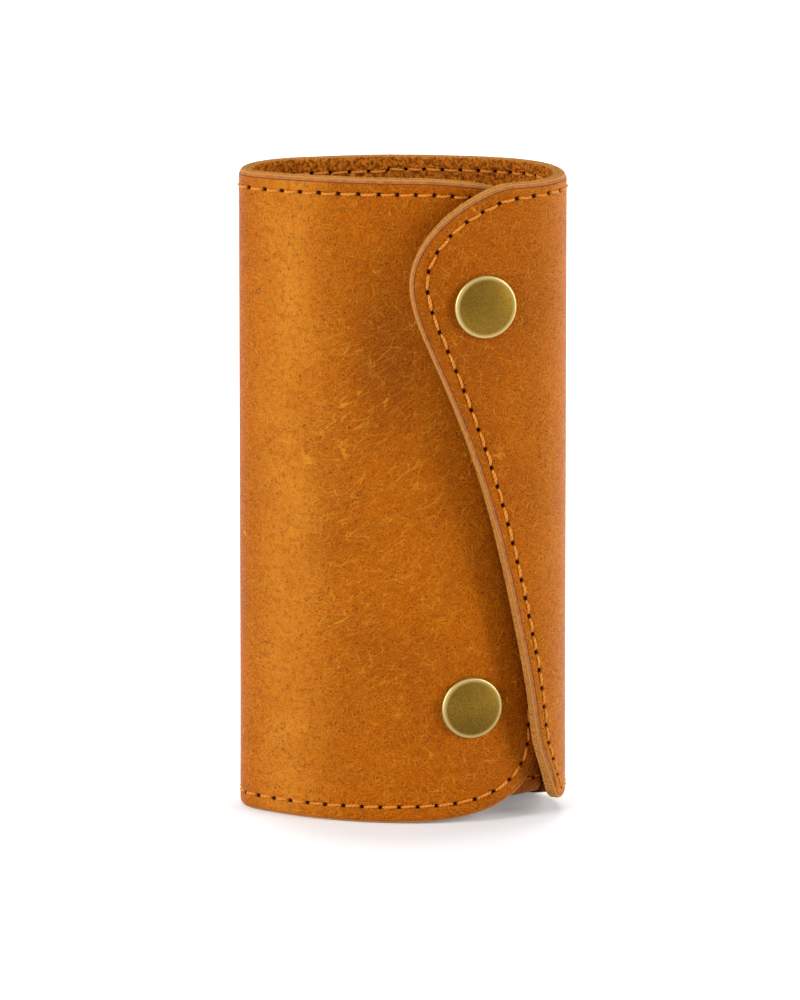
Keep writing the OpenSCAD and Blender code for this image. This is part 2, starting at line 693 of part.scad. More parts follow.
// A path in X and Z laid on the front panel or on the flap
function panel_az(x) = x < tail_c[0] ? asin((x - panel_c[0]) / panel_r)
    : asin((x - tail_c[0]) / panel_tail_r);
function panel_at(x, z) = let (a = panel_az(x), c = x < tail_c[0] ? panel_c : tail_c,
    r = x < tail_c[0] ? panel_r : panel_tail_r) [x, c[1] - r * cos(a), z, a];
flap_join_x = flap_c[0] + flap_r * sin(flap_join_az);
function flap_at(x, z) = let (c = x < flap_join_x ? flap_c : front_right_c,
    r = x < flap_join_x ? flap_r : front_right_r, a = asin((x - c[0]) / r))
    [x, c[1] - r * cos(a), z, a];

// Moves a path in X and Z sideways by the stitches' inset, to the side that turns by -90
function inset_points(pts, d) = [for (i = [0 : len(pts) - 1])
    let (a = pts[max(i - 1, 0)], b = pts[min(i + 1, len(pts) - 1)], v = (b - a) / norm(b - a))
    pts[i] + d * [-v[1], v[0]]];

module panel_stitching()
    color("sandybrown") {
        start_x = panel_c[0] + panel_r * sin(front_left_az);
        low = inset_points(panel_low, stitch_inset_w);
        high = inset_points(panel_high, stitch_inset_w);
        stitches(concat(
            arc_path(panel_arcs[0], 0, stitch_inset_w, -90 + 3 * panel_gap_az, front_left_az, 8),
            [for (i = [1 : 8]) panel_at(start_x + (low[0][0] - start_x) * i / 9, stitch_inset_w)],
            [for (p = low) panel_at(p[0], p[1])],
            [for (p = high) panel_at(p[0], p[1])],
            [for (i = [1 : 12]) panel_at(high[12][0] + (start_x - high[12][0]) * i / 13,
                case_h - stitch_inset_w)],
            arc_path(panel_arcs[0], 0, case_h - stitch_inset_w, front_left_az,
                -90 + 3 * panel_gap_az, 8)), thread_r);
    }

// The row on the flap runs from the fold along the top, round the lobe and down the S edge.
flap_row_end_share = 0.86;
flap_end_x = front_right_c[0] + front_right_r * sin(flap_fold_az - 2 * flap_gap_az);
flap_row = inset_points(concat([[flap_end_x, case_h], [(flap_end_x + s_edge[0][0]) / 2, case_h]],
    [for (p = s_edge) if (p[0] < flap_row_end_share * case_w / 2) p]), stitch_inset_w);
module flap_stitching()
    color("sandybrown")
        stitches([for (p = flap_row) if (p[0] < flap_end_x) flap_at(p[0], p[1])], thread_r);

module tab_stitching()
    color("sandybrown") {
        z = tab_rise_h + stitch_inset_w;
        far_az = tab_free_az + stitch_inset_w / tab_r * 180 / PI;
        stitches(concat(arc_path(tab_arcs[0], 0, z, tab_bend_az, far_az, 16),
            arc_path(tab_arcs[0], 0, tab_rise_h + tab_h - stitch_inset_w, far_az, tab_bend_az, 16)),
            stitch_pitch / 2);
    }

back_leather();
back_lining();
back_stitching();
panel_leather();
panel_lining();
panel_stitching();
flap_leather();
flap_lining();
flap_stitching();
tab_leather();
tab_lining();
tab_stitching();
tab_base_leather();
tab_base_lining();
upper_snap_cap();
upper_snap_socket();
upper_snap_stud();
upper_stud_post();
lower_snap_cap();
lower_snap_socket();
lower_snap_stud();
lower_stud_post();
key_plate();
hook_rod();
plate_rivets();
rivet_caps();
key_hook(1);  // hook_1
key_hook(2);  // hook_2
key_hook(3);  // hook_3
key_hook(4);  // hook_4
key_hook(5);  // hook_5
key_hook(6);  // hook_6
hook_gate(1);  // gate_1
hook_gate(2);  // gate_2
hook_gate(3);  // gate_3
hook_gate(4);  // gate_4
hook_gate(5);  // gate_5
hook_gate(6);  // gate_6
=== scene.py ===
import math
import bmesh
import bpy
import numpy as np
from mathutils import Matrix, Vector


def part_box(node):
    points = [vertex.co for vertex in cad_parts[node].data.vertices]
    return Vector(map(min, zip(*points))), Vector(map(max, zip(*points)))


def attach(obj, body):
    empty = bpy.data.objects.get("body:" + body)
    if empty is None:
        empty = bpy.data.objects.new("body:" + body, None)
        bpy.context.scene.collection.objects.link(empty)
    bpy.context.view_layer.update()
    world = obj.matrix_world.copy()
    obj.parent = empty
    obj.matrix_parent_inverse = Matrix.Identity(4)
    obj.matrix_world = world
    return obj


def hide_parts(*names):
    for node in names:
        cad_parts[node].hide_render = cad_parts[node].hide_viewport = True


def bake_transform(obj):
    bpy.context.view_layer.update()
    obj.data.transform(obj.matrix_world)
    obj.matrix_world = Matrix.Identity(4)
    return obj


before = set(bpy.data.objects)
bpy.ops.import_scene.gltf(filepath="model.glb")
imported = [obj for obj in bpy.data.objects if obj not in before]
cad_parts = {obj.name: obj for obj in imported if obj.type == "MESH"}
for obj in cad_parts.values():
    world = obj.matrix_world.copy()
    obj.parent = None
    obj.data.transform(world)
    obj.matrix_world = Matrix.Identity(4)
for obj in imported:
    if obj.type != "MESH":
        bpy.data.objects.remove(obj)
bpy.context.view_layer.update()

# Lengths below are in mm, and MM turns them into metres. Angles on the plan are in degrees,
# from the front, -Y, towards the right, +X.
MM = 0.001
CASE_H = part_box("back_leather")[1].z / MM
LEATHER_T, LINING_T = 1.5, 1.1
WALL_T = LEATHER_T + LINING_T
TAB_LEATHER_T, TAB_T, TAB_ROOT_W = 1.2, 2.1, 7.0
SNAP_GAP = 2.56
SEAM_AZ = 180.0

# Plan circles of the case: centre x, centre y, outer radius
LEFT = (-16.5, 2.36586, 15.0)
RIGHT = (11.5, -3.03414, 20.0)
BACK = (-2.8811, -50.9213, 70.0)
FRONT_LEFT = (-24.8, 2.36586, 6.7)
PANEL = (3.89721, 39.9659, 54.0)
TAIL = (3.89721, 21.4659, 35.5)
FLAP = (3.40035, 27.9213, 47.0)
FRONT_RIGHT = (19.3, -3.03414, 12.2)
TAB_BEND = (22.5643, 3.59844, 4.5)
# Where one circle passes into the next
BACK_RIGHT_AZ, BACK_LEFT_AZ = 163.284, 194.337
FRONT_LEFT_AZ, FLAP_JOIN_AZ = -37.3517, 27.1864

HALF_W = 31.5
# The flap's tip: the height at which the seen S line ends, the foot's height there, and the depth
# over which the side wall's foot comes up to it
TIP_RISE, TIP_FOOT, TIP_RISE_D = 3.9, 3.31, 16.0
# The tab's lower and upper edge, the place of its free edge, and its corners' radius
TAB_LOW, TAB_HIGH, TAB_REACH_X, TAB_CORNER = 2.75, 38.6, 2.2, 6.0

# How much wider the foot is, as a share of the width, and how far the rim stands over CASE_H
FOOT_FLARE, RIM_RISE = 0.014, 0.25
STITCH_PITCH, STITCH_INSET = 3.8, 3.0
# Width of the finely divided band along each edge
BAND_W = 5.4

# How far inside the seen S line the grain face's own edge lies, at distances up from the tip
LEAN_AT = (9, 16, 25, 40, 60, 80, 100, 112, 124, 132, 140)
LEAN = (2.1, 1.01, 0.95, 0.59, 0.39, 0.01, -0.21, -0.08, 0.43, 0.71, 0.6)
# The rounding of the tip: the bell's width, and the distance up to which it holds in full
TIP_ROUND, TIP_NEAR = 2.0, 6.0

# Insets of the stitch rows at distances along each rim
RIGHT_ROW = ((0, 50, 60, 70, 110, 128, 145, 158, 172, 188, 197, 205, 255),
             (2.8, 2.3, 2.2, 2.6, 2.7, 2.85, 3.4, 3.5, 3.1, 3.15, 2.5, 2.55, 2.7))
LEFT_ROW = ((0, 48, 60, 70, 80, 87, 92, 99, 105, 112, 232, 250, 262, 275, 320),
            (3.0, 3.05, 3.1, 3.3, 3.3, 3.05, 2.95, 3.2, 3.25, 3.0, 2.95, 3.0, 3.15, 3.15, 3.1))
TAB_ROW = ((0, 100), (3.0, 3.0))

# How much the top rims rise or dip, at distances along the walls from the seam
RIGHT_WAVE = ((0, 10, 24, 34, 44, 60), (0.0, 0.08, 0.22, 0.34, 0.26, 0.0))
LEFT_WAVE = ((0, 15, 45, 60), (0.0, -0.20, -0.20, 0.0))

# Holes with a measured place, as distances along their rows
RIGHT_HOLES = (54.2, 77.0, 99.5, 123.0, 147.6, 171.8, 190.0)
LEFT_HOLES = (48.3, 66.9, 85.0, 105.0, 224.5, 242.2, 266.0)
# How far the tab's first and last holes are from its sewn end
TAB_END_HOLE = 9.3
# Steps along an edge: beside each hole, between two holes as shares of the gap, and elsewhere
BESIDE_HOLE = (-0.62, -0.38, -0.18, 0.0, 0.18, 0.38, 0.62)
BETWEEN_HOLES = (0.33, 0.5, 0.67)
PLAIN_STEP = 1.2

# What the thread presses into the leather: half sizes of a well along and across the row and its
# depth, then a groove's half width, its depth and its length past the end holes
WELL_ALONG, WELL_ACROSS, WELL_D = 0.58, 0.36, 0.7
GROOVE_ACROSS, GROOVE_D, GROOVE_PAST = 0.44, 0.12, 0.7
# Room that the wells need on both sides of the row, and the inset that they keep off the edge
ROOM_IN, ROOM_OUT, ROOM_EDGE = 1.05, 1.40, 1.34
# Nothing of the bevel lies farther in than this.
BEVEL_IN = 1.3
# How rough the cut edge is, and over what length the burnish begins past the foot
RAW_FUZZ, BURNISH_OVER = 0.035, 6.0
# How softly the leather comes up round a cap, how deep the cap presses it, and the cap's radius
PRESS_SOFT, PRESS_D, CAP_R = 1.3, 0.22, 6.1

# A thread: its radius, its sideways bow, its slant from hole to hole, how high it lies on the
# leather, how deep it dips at its ends, and how deep its tips are
THREAD_R, THREAD_BOW, THREAD_SLANT = 0.28, 0.14, 0.10
THREAD_HIGH, THREAD_DIP, THREAD_TIP_D = 0.03, 0.55, 0.6

# Where the hide is drawn lighter: partly hide that is lighter where it is bent, and partly painted
# highlight in place of the side lamps' sheen. On the left: the place and half width of a bell, then
# the y at which it fades towards the back, over what depth, and the share that stays. On the right:
# where a soft step begins, its width and its share
LIT_PULL_X, LIT_PULL_W, LIT_PULL_Y, LIT_PULL_D, LIT_PULL_REST = -22.0, 7.0, 2.0, 6.0, 0.15
LIT_PULL_RIGHT_X, LIT_PULL_RIGHT_W, LIT_PULL_RIGHT = 20.0, 11.0, 0.6

# The flat pattern is stored as UV at this size per mm.
UV_PER_MM = 0.01


class Bend:
    """A wall's plan: a chain of arcs that touch. At distance s along the outer face and depth d
    under it, a point is the arc's centre plus (radius - d) times the arc's direction at s."""

    # How far past its last arc's end a wall is still looked for
    PAST_END = 12.0

    def __init__(self, *arcs):
        rows = [(x, y, r, math.radians(a), 1.0 if b > a else -1.0, r * math.radians(abs(b - a)))
                for (x, y, r), a, b in arcs]
        self.rows = np.array(rows)
        self.ends = np.concatenate([[0.0], np.cumsum(self.rows[:, 5])])

    def at(self, s, d):
        """x and y at distance s and depth d"""
        row = np.clip(np.searchsorted(self.ends, s, side="right") - 1, 0, len(self.rows) - 1)
        x, y, r, first, way = self.rows[row, :5].T if np.ndim(s) == 1 else np.moveaxis(
            self.rows[row, :5], -1, 0)
        az = first + way * (s - self.ends[row]) / r
        return x + (r - d) * np.sin(az), y - (r - d) * np.cos(az)

    def s_at_x(self, x, first, depth=0.0):
        """The distance along the wall, past `first`, at which it has this x at this depth"""
        s = np.linspace(first, self.ends[-1] + self.PAST_END, 6000)
        face = self.at(s, depth)[0]
        way = 1.0 if face[1] > face[0] else -1.0
        keep = np.concatenate([[True], np.diff(way * face) > 0])
        return np.interp(way * np.asarray(x, float), way * face[keep], s[keep])


def az_between(a, b):
    """The direction from one circle's centre to another's, in degrees"""
    return math.degrees(math.atan2(b[0] - a[0], -(b[1] - a[1])))


right_bend = Bend((BACK, SEAM_AZ, BACK_RIGHT_AZ), (RIGHT, BACK_RIGHT_AZ, 90.0),
                  (FRONT_RIGHT, 90.0, FLAP_JOIN_AZ), (FLAP, FLAP_JOIN_AZ, -10.0))
left_bend = Bend((BACK, SEAM_AZ, BACK_LEFT_AZ), (LEFT, BACK_LEFT_AZ, 270.0),
                 (FRONT_LEFT, 270.0, 360.0 + FRONT_LEFT_AZ), (PANEL, FRONT_LEFT_AZ, 0.0),
                 (TAIL, 0.0, 50.0))
tab_root = (RIGHT[0], RIGHT[1], RIGHT[2] - WALL_T)
tab_face = (TAIL[0], TAIL[1], TAIL[2] - WALL_T - SNAP_GAP)
tab_root_az = az_between(tab_root, TAB_BEND)
tab_bend = Bend((tab_root, tab_root_az + math.degrees(TAB_ROOT_W / tab_root[2]), tab_root_az),
                (TAB_BEND, tab_root_az, az_between(TAIL, TAB_BEND)),
                (tab_face, az_between(TAIL, TAB_BEND), -12.0))


def flared(x, z):
    """The wrap is a little wider at the foot than at the rim."""
    return x * (1.0 + FOOT_FLARE * (1.0 - z / CASE_H))


def place(bend, s, z, d):
    """(s, z, depth) on a wall to a point in metres"""
    x, y = bend.at(s, d)
    return np.stack([flared(x, z), y, z + 0.0 * x], -1) * MM


def bezier(points, steps):
    """A cubic curve without its last point: the sum of the four given points by the weights
    (1-t)^3, 3t(1-t)^2, 3t^2(1-t) and t^3, with t from 0 to 1"""
    t = np.linspace(0.0, 1.0, steps + 1)[:-1, None]
    u = 1 - t
    a, b, c, d = np.array(points, float)
    return u ** 3 * a + 3 * t * u ** 2 * b + 3 * t * t * u * c + t ** 3 * d


def spread(points, step):
    """The same line with its points at even distances"""
    run = np.concatenate([[0.0], np.cumsum(np.hypot(*np.diff(points, axis=0).T))])
    keep = np.concatenate([[True], np.diff(run) > 1e-9])
    at = np.linspace(0.0, run[-1], int(round(run[-1] / step)) + 1)
    return np.stack([np.interp(at, run[keep], points[keep, i]) for i in (0, 1)], 1)


def softened(values, width):
    """Each value becomes the bell-weighted mean of its neighbours, with the ends held."""
    reach = int(3 * width)
    bell = np.exp(-0.5 * (np.arange(-reach, reach + 1) / width) ** 2)
    padded = np.concatenate([np.full(reach, values[0]), values, np.full(reach, values[-1])])
    return np.convolve(padded, bell / bell.sum(), "valid")


class Rim:
    """A sheet's edge on its flat (s, z) pattern, from the seam along the foot, up the free side and
    back along the top. A place is a distance l along it and an inset a at right angles to it."""

    STEP = 0.1
    # The band takes this share of the edge's own radius at most, at the tightest place within
    # this many steps, and the stitch row takes this share of the band
    BEND_SHARE, NEAR, ROW_SHARE = 0.72, 25, 0.78

    def __init__(self, line, row):
        self.line = spread(np.array(line, float), self.STEP)
        self.l = np.arange(len(self.line)) * self.STEP
        self.length = self.l[-1]
        way = np.gradient(self.line, axis=0)
        angle = np.unwrap(np.arctan2(way[:, 1], way[:, 0]))
        angle[:8], angle[-8:] = angle[8], angle[-9]
        angle = softened(angle, 7.0)
        self.angle = angle
        self.inward = np.stack([-np.sin(angle), np.cos(angle)], 1)
        bend = np.maximum(np.gradient(angle) / self.STEP, 1e-4)
        width = np.pad(np.minimum(BAND_W, self.BEND_SHARE / bend), self.NEAR, "edge")
        around = np.lib.stride_tricks.sliding_window_view(width, 2 * self.NEAR + 1)
        self.width = softened(np.min(around, axis=1), 12.0)
        inset = softened(np.interp(self.l, *row), 30.0)
        self.inset = np.minimum(inset, self.ROW_SHARE * self.width)
        row = self.at(self.l, self.inset)
        self.row = np.concatenate([[0.0], np.cumsum(np.hypot(*np.diff(row, axis=0).T))])

    def at(self, l, a):
        """The point of the edge at l, moved inwards by a"""
        shape = np.broadcast(l, a).shape
        l = np.broadcast_to(l, shape)
        pick = [np.interp(l, self.l, v) for v in (*self.line.T, *self.inward.T, self.width)]
        inset = np.minimum(a, pick[4] + 0.0 * l)
        return np.stack([pick[0] + inset * pick[2], pick[1] + inset * pick[3]], -1)

    def turn(self, degrees):
        """The first l at which the edge has turned by this angle"""
        return float(self.l[np.argmax(self.angle > math.radians(degrees))])


s_foot = float(right_bend.ends[2])
rim_z = CASE_H + RIM_RISE
# The seen S line from the top rim to the tip, in shares of half the width and of the height
tip_rise = TIP_RISE / CASE_H
lobe = bezier([[0.644, 1], [0.374, 0.991], [0.042, 0.921], [0.042, 0.85]], 60)
sweep = bezier([[0.042, 0.85], [0.042, 0.796], [0.17, 0.754], [0.365, 0.623]], 50)
fall = bezier([[0.365, 0.623], [0.601, 0.465], [0.743, 0.24], [0.766, 0.191]], 50)
tip = bezier([[0.766, 0.191], [0.829, 0.058], [0.896, tip_rise], [0.967, tip_rise]], 50)
s_edge = np.concatenate([lobe, sweep, fall, tip, [[0.967, tip_rise]]]) * [HALF_W, CASE_H]


def foot_rise(y):
    """The side wall's foot rises by a half cosine wave from the back to the flap's tip."""
    share = np.clip((y - FRONT_RIGHT[1]) / TIP_RISE_D, 0.0, 1.0)
    return TIP_FOOT * (1.0 + np.cos(math.pi * share)) / 2.0


def top_line(s, z, wave):
    """The top rim from distance s at height z: a straight line back to the seam plus the wave"""
    run = np.linspace(s, 0.0, 200)[1:]
    return np.stack([run, rim_z + (z - rim_z) * run / s + np.interp(run, *wave)], 1)


def flap_outline():
    """The grain face's outline on the flat pattern. The S line is seen at the inner corner of a
    square cut, so the line moves inwards at right angles by the lean. Below, its last 3 mm run
    straight on to the foot, and a bell-weighted mean rounds the tip. The top fifth is stretched
    up to the rim."""
    seen = spread(s_edge[::-1], 0.2)
    seen[:, 1] *= np.interp(seen[:, 1] / CASE_H, (0.0, 0.8, 1.0), (1.0, 1.0, rim_z / CASE_H))
    flat = np.stack([right_bend.s_at_x(seen[:, 0], s_foot), seen[:, 1]], 1)
    way = np.gradient(flat, axis=0)
    way /= np.hypot(*way.T)[:, None]
    inward = np.stack([softened(-way[:, 1], 8.0), softened(way[:, 0], 8.0)], 1)
    run = np.concatenate([[0.0], np.cumsum(np.hypot(*np.diff(flat, axis=0).T))])
    free = (flat + inward * np.interp(run, LEAN_AT, LEAN)[:, None])[run > LEAN_AT[0]]
    down = free[0] - free[15]
    low = free[0] + down * (free[0, 1] - TIP_FOOT) / -down[1]
    side = np.linspace(0.0, low[0], 300)[:-1]
    rise = np.where(side < s_foot, foot_rise(right_bend.at(side, 0.0)[1]), TIP_FOOT)
    foot = np.stack([side, rise], 1)
    line = np.concatenate([foot, [low], free, top_line(*free[-1], RIGHT_WAVE)])
    line = spread(line, Rim.STEP)
    smooth = np.stack([softened(line[:, i], TIP_ROUND / Rim.STEP) for i in (0, 1)], 1)
    share = np.clip(2.0 - np.hypot(*(line - low).T) / TIP_NEAR, 0.0, 1.0)[:, None]
    return line + (smooth - line) * share * share * (3.0 - 2.0 * share)


right_rim = Rim(flap_outline(), RIGHT_ROW)


def corner(x, z, w, h, first, last):
    """Part of an ellipse round (x, z), as points in x and z"""
    a = np.radians(np.linspace(first, last, 60))
    return np.stack([x + w * np.cos(a), z + h * np.sin(a)], 1)


# The panel's free edge, with its wide lower and its round upper corner
s_left = float(left_bend.ends[2])
panel_line = np.concatenate([
    bezier([[-14.88, 0.0], [9.5, 0.0], [26.8, -0.55], [26.8, 16.687]], 80),
    corner(1.9, rim_z - 8.0, 24.9, 8.0, 0.0, 90.0)])
left_rim = Rim(np.concatenate([
    [[0.0, 0.0]], np.stack([left_bend.s_at_x(panel_line[:, 0], s_left), panel_line[:, 1]], 1),
    top_line(70.0, rim_z, LEFT_WAVE)]), LEFT_ROW)
# The tab's free edge. Its places are looked for from the bend's rightmost point on.
s_tab = float(tab_bend.ends[1]) + TAB_BEND[2] * math.radians(tab_root_az - 90.0)
tab_line = np.concatenate([
    corner(TAB_REACH_X + TAB_CORNER, TAB_LOW + TAB_CORNER, TAB_CORNER, TAB_CORNER, 270.0, 180.0),
    corner(TAB_REACH_X + TAB_CORNER, TAB_HIGH - TAB_CORNER, TAB_CORNER, TAB_CORNER, 180.0, 90.0)])
tab_rim = Rim(np.concatenate([
    [[0.0, TAB_LOW]], np.stack([tab_bend.s_at_x(tab_line[:, 0], s_tab), tab_line[:, 1]], 1),
    [[0.0, TAB_HIGH]]]), TAB_ROW)


def new_piece(name, points, faces, material, flat_from=None, uv=None, **marks):
    """Puts points and faces into a mesh, turns the faces outwards, and gives it its finish. The
    faces from number `flat_from` on are flat, and each mark is a value at every point."""
    mesh = bpy.data.meshes.new(name)
    mesh.from_pydata(points.reshape(-1, 3).tolist(), [], faces)
    for label, values in marks.items():
        mesh.attributes.new(label, "FLOAT", "POINT").data.foreach_set(
            "value", np.asarray(values, np.float32).ravel())
    work = bmesh.new()
    work.from_mesh(mesh)
    bmesh.ops.recalc_face_normals(work, faces=work.faces)
    if flat_from is not None:
        for edge in work.edges:
            edge.smooth = all(face.index < flat_from for face in edge.link_faces)
    work.to_mesh(mesh)
    work.free()
    smooth = np.ones(len(mesh.polygons), bool)
    if flat_from is not None:
        smooth[flat_from:] = False
    mesh.polygons.foreach_set("use_smooth", smooth)
    if uv is not None:
        corner_of = np.zeros(len(mesh.loops), np.int32)
        mesh.loops.foreach_get("vertex_index", corner_of)
        pattern = mesh.uv_layers.new(name="pattern").data
        pattern.foreach_set("uv", uv.reshape(-1, 2)[corner_of].ravel())
    mesh.materials.append(material)
    piece = bpy.data.objects.new(name, mesh)
    bpy.context.scene.collection.objects.link(piece)
    return piece


def zipped(fine, coarse, fine_l, coarse_l):
    """Triangles between two rows with different spacings: each edge of one row takes the point of
    the other that is nearest along the row."""
    mid_f, mid_c = (fine_l[1:] + fine_l[:-1]) / 2, (coarse_l[1:] + coarse_l[:-1]) / 2
    to_c = np.searchsorted(mid_c, mid_f, side="left")
    to_f = np.searchsorted(mid_f, mid_c, side="right")
    return np.concatenate([np.stack([fine[:-1], fine[1:], coarse[to_c]], 1),
                           np.stack([coarse[1:], coarse[:-1], fine[to_f]], 1)])


def quads(index):
    """The four-sided faces of a grid of point numbers"""
    corners = [index[:-1, :-1], index[1:, :-1], index[1:, 1:], index[:-1, 1:]]
    return np.stack(corners, -1).reshape(-1, 4)


def stitch_holes(*known):
    """Places of the holes, as distances along the row: even steps between the known holes"""
    counts = [max(1, round((b - a) / STITCH_PITCH)) for a, b in zip(known, known[1:])]
    parts = [np.linspace(a, b, n + 1)[:-1] for a, b, n in zip(known, known[1:], counts)]
    return np.concatenate(parts + [known[-1:]])


def dimple(run, across, holes):
    """Depth pressed in by the thread, and the mark of its holes. A well at each hole is a bell
    with a flat bottom, and the groove between is a shallow bell across the row."""
    near = np.abs(run[:, None] - holes[None, :]).min(1)[:, None]
    inside = ((run > holes[0] - GROOVE_PAST) & (run < holes[-1] + GROOVE_PAST))[:, None]
    well = np.exp(-((near / WELL_ALONG) ** 2 + (across / WELL_ACROSS) ** 2) ** 2)
    groove = GROOVE_D * np.exp(-(across / GROOVE_ACROSS) ** 2)
    return np.where(inside, np.maximum(WELL_D * well, groove), 0.0), np.where(inside, well, 0.0)


def pulled_and_lit(points):
    """Lighter hide: partly waxed hide that turns lighter where it is bent, and partly painted
    highlight from the side lamps. A bell round the left of the front, and a soft step towards the
    right side."""
    x, y = points[:, 0] / MM, points[:, 1] / MM
    left = np.exp(-((x - LIT_PULL_X) / LIT_PULL_W) ** 2) * np.clip((LIT_PULL_Y - y) / LIT_PULL_D, LIT_PULL_REST, 1.0)
    right = LIT_PULL_RIGHT * np.clip((x - LIT_PULL_RIGHT_X) / LIT_PULL_RIGHT_W, 0.0, 1.0) ** 1.5
    return np.clip(left + right, 0.0, 1.0)


def patch(rim, l_low, l_high, across, up):
    """A grid that fills the outline inside its band: the lines ruled between foot and top plus
    those between seam and free side, less the lines ruled between the four corners."""
    foot = rim.at(np.linspace(0.0, l_low, across + 1), BAND_W)[:, None]
    free = rim.at(np.linspace(l_low, l_high, up + 1), BAND_W)[None]
    top = rim.at(np.linspace(rim.length, l_high, across + 1), BAND_W)[:, None]
    v = np.linspace(0.0, 1.0, up + 1)[None, :, None]
    u = np.linspace(0.0, 1.0, across + 1)[:, None, None]
    seam = foot[:1] * (1 - v) + top[:1] * v
    ruled = (1 - v) * foot + v * top + (1 - u) * seam + u * free
    first = (1 - v) * foot[:1] + v * top[:1]
    last = (1 - v) * foot[-1:] + v * top[-1:]
    return ruled - ((1 - u) * first + u * last)


def sheet(name, bend, rim, profile, material, cells, holes, side=1.0, presses=()):
    """One layer of a bent wall as a closed shell. The profile goes round the edge from the layer's
    outer face to its inner face: rows of inset, depth, edge mark and sign of the stitch wells. It
    is carried along the rim, and a ruled grid closes each face inside it. Each press is a cap's
    place, radius and depth: the outer face sinks by a bell round it."""
    a, d, mark, well = np.array(profile).T
    # Along the rim the places are closer round each hole.
    gaps = np.diff(holes)
    runs = np.concatenate([(holes[:, None] + BESIDE_HOLE).ravel(),
                           (holes[:-1, None] + gaps[:, None] * BETWEEN_HOLES).ravel(),
                           np.arange(holes[0] - PLAIN_STEP, 0.0, -PLAIN_STEP),
                           np.arange(holes[-1] + PLAIN_STEP, rim.row[-1], PLAIN_STEP)])
    runs = np.sort(runs[(runs > 0.05) & (runs < rim.row[-1] - 0.05)])
    fine_l = np.concatenate([[0.0], np.interp(runs, rim.row, rim.l), [rim.length]])
    run = np.interp(fine_l, rim.l, rim.row)
    width = np.interp(fine_l, rim.l, rim.width)[:, None]
    row = np.interp(fine_l, rim.l, rim.inset)[:, None]
    # Places in the stitch band keep their distance from the row, as far as the width leaves room.
    step = a - STITCH_INSET
    room = np.where(step > 0, (width - row) / ROOM_IN, (row - ROOM_EDGE) / ROOM_OUT)
    room = np.minimum(1.0, room)
    last = a > BAND_W - 0.01
    inset = np.where(last, width, np.where(well != 0, row + step * room, a))
    inner_face = (well == 0) & (a > BEVEL_IN) & ~last
    inset = np.where(inner_face, np.minimum(a, 0.8 * width), inset)
    fuzz = np.random.default_rng(7).normal(0.0, 1.0, (len(fine_l), len(a)))
    inset = inset + RAW_FUZZ * fuzz * np.clip(mark - 0.6, 0.0, 1.0)
    sunk, hole = dimple(run, inset - row, holes)
    depth = d + well * sunk
    hole = hole * np.abs(well)
    band = rim.at(fine_l[:, None], inset)[:, 1:-1]
    depth = depth[:, 1:-1]
    # The foot ends where the edge has turned by 45 degrees, and the top begins at 135 degrees.
    across, up = cells
    l_low, l_high = rim.turn(45.0), rim.turn(135.0)
    # The foot isn't burnished.
    burnished = np.clip((fine_l - l_low) / BURNISH_OVER, 0.0, 1.0)[:, None]
    marks = np.where(mark < 0.45, mark * burnished, mark)[:, 1:-1]
    grid = patch(rim, l_low, l_high, across, up)
    face_depth = np.full(grid.shape[:2], d[0])
    for cap_s, cap_z, cap_r, sunk in presses:
        far = np.hypot(grid[..., 0] - cap_s, grid[..., 1] - cap_z)
        face_depth = face_depth + sunk * np.exp(-(np.maximum(far - cap_r, 0.0) / PRESS_SOFT) ** 2)
    grid_size = grid.shape[0] * grid.shape[1]
    flat = np.concatenate([band.reshape(-1, 2), grid.reshape(-1, 2), grid.reshape(-1, 2)])
    depths = np.concatenate([depth.ravel(), face_depth.ravel(), np.full(grid_size, d[-1])])
    edge = np.concatenate([marks.ravel(), np.full(grid_size, mark[0]),
                           np.full(grid_size, mark[-1])])
    dark = np.concatenate([hole[:, 1:-1].ravel(), np.zeros(2 * grid_size)])
    points = place(bend, flat[:, 0], flat[:, 1], depths)
    n_band = band.shape[0] * band.shape[1]
    band_no = np.arange(n_band).reshape(band.shape[:2])
    outer = n_band + np.arange(grid_size).reshape(grid.shape[:2])
    inner = outer + grid_size
    coarse_l = np.concatenate([np.linspace(0.0, l_low, across + 1)[:-1],
                               np.linspace(l_low, l_high, up + 1)[:-1],
                               np.linspace(l_high, rim.length, across + 1)])
    ring = [np.concatenate([g[:-1, 0], g[-1, :-1], g[::-1, -1]]) for g in (outer, inner)]
    tri = np.concatenate([zipped(band_no[:, 0], ring[0], fine_l, coarse_l),
                          zipped(band_no[:, -1], ring[1], fine_l, coarse_l)])
    body = np.concatenate([quads(band_no), quads(outer), quads(inner)])
    seam = quads(np.stack([outer[0], inner[0]], 0))
    ends = [[ring[0][k]] + band_no[k].tolist() + [ring[1][k]] for k in (0, -1)]
    faces = tri.tolist() + body.tolist() + seam.tolist() + ends
    uv = np.stack([side * flat[:, 0], flat[:, 1]], 1) * UV_PER_MM
    return new_piece(name, points, faces, material, flat_from=len(tri) + len(body), uv=uv,
                     edge=edge, hole=dark, bent=pulled_and_lit(points))


def ringed(rings, first, last):
    """Faces of many closed tubes: rings of points, and one end point at each pole. Returns the
    points of all of them in one list and their faces."""
    many, along, round_, _ = rings.shape
    each = along * round_ + 2
    points = np.concatenate([rings.reshape(many, -1, 3), first[:, None], last[:, None]], 1)
    no = np.arange(along * round_).reshape(along, round_)
    no = np.concatenate([no, no[:, :1]], 1)
    q = quads(no)
    poles = [np.stack([np.full(round_, along * round_ + k), r[1:], r[:-1]], 1)
             for k, r in ((0, no[0]), (1, no[-1]))]
    shift = np.arange(many)[:, None, None] * each
    faces = (q[None] + shift).reshape(-1, 4).tolist()
    for p in poles:
        faces += (p[None] + shift).reshape(-1, 3).tolist()
    return points.reshape(-1, 3), faces


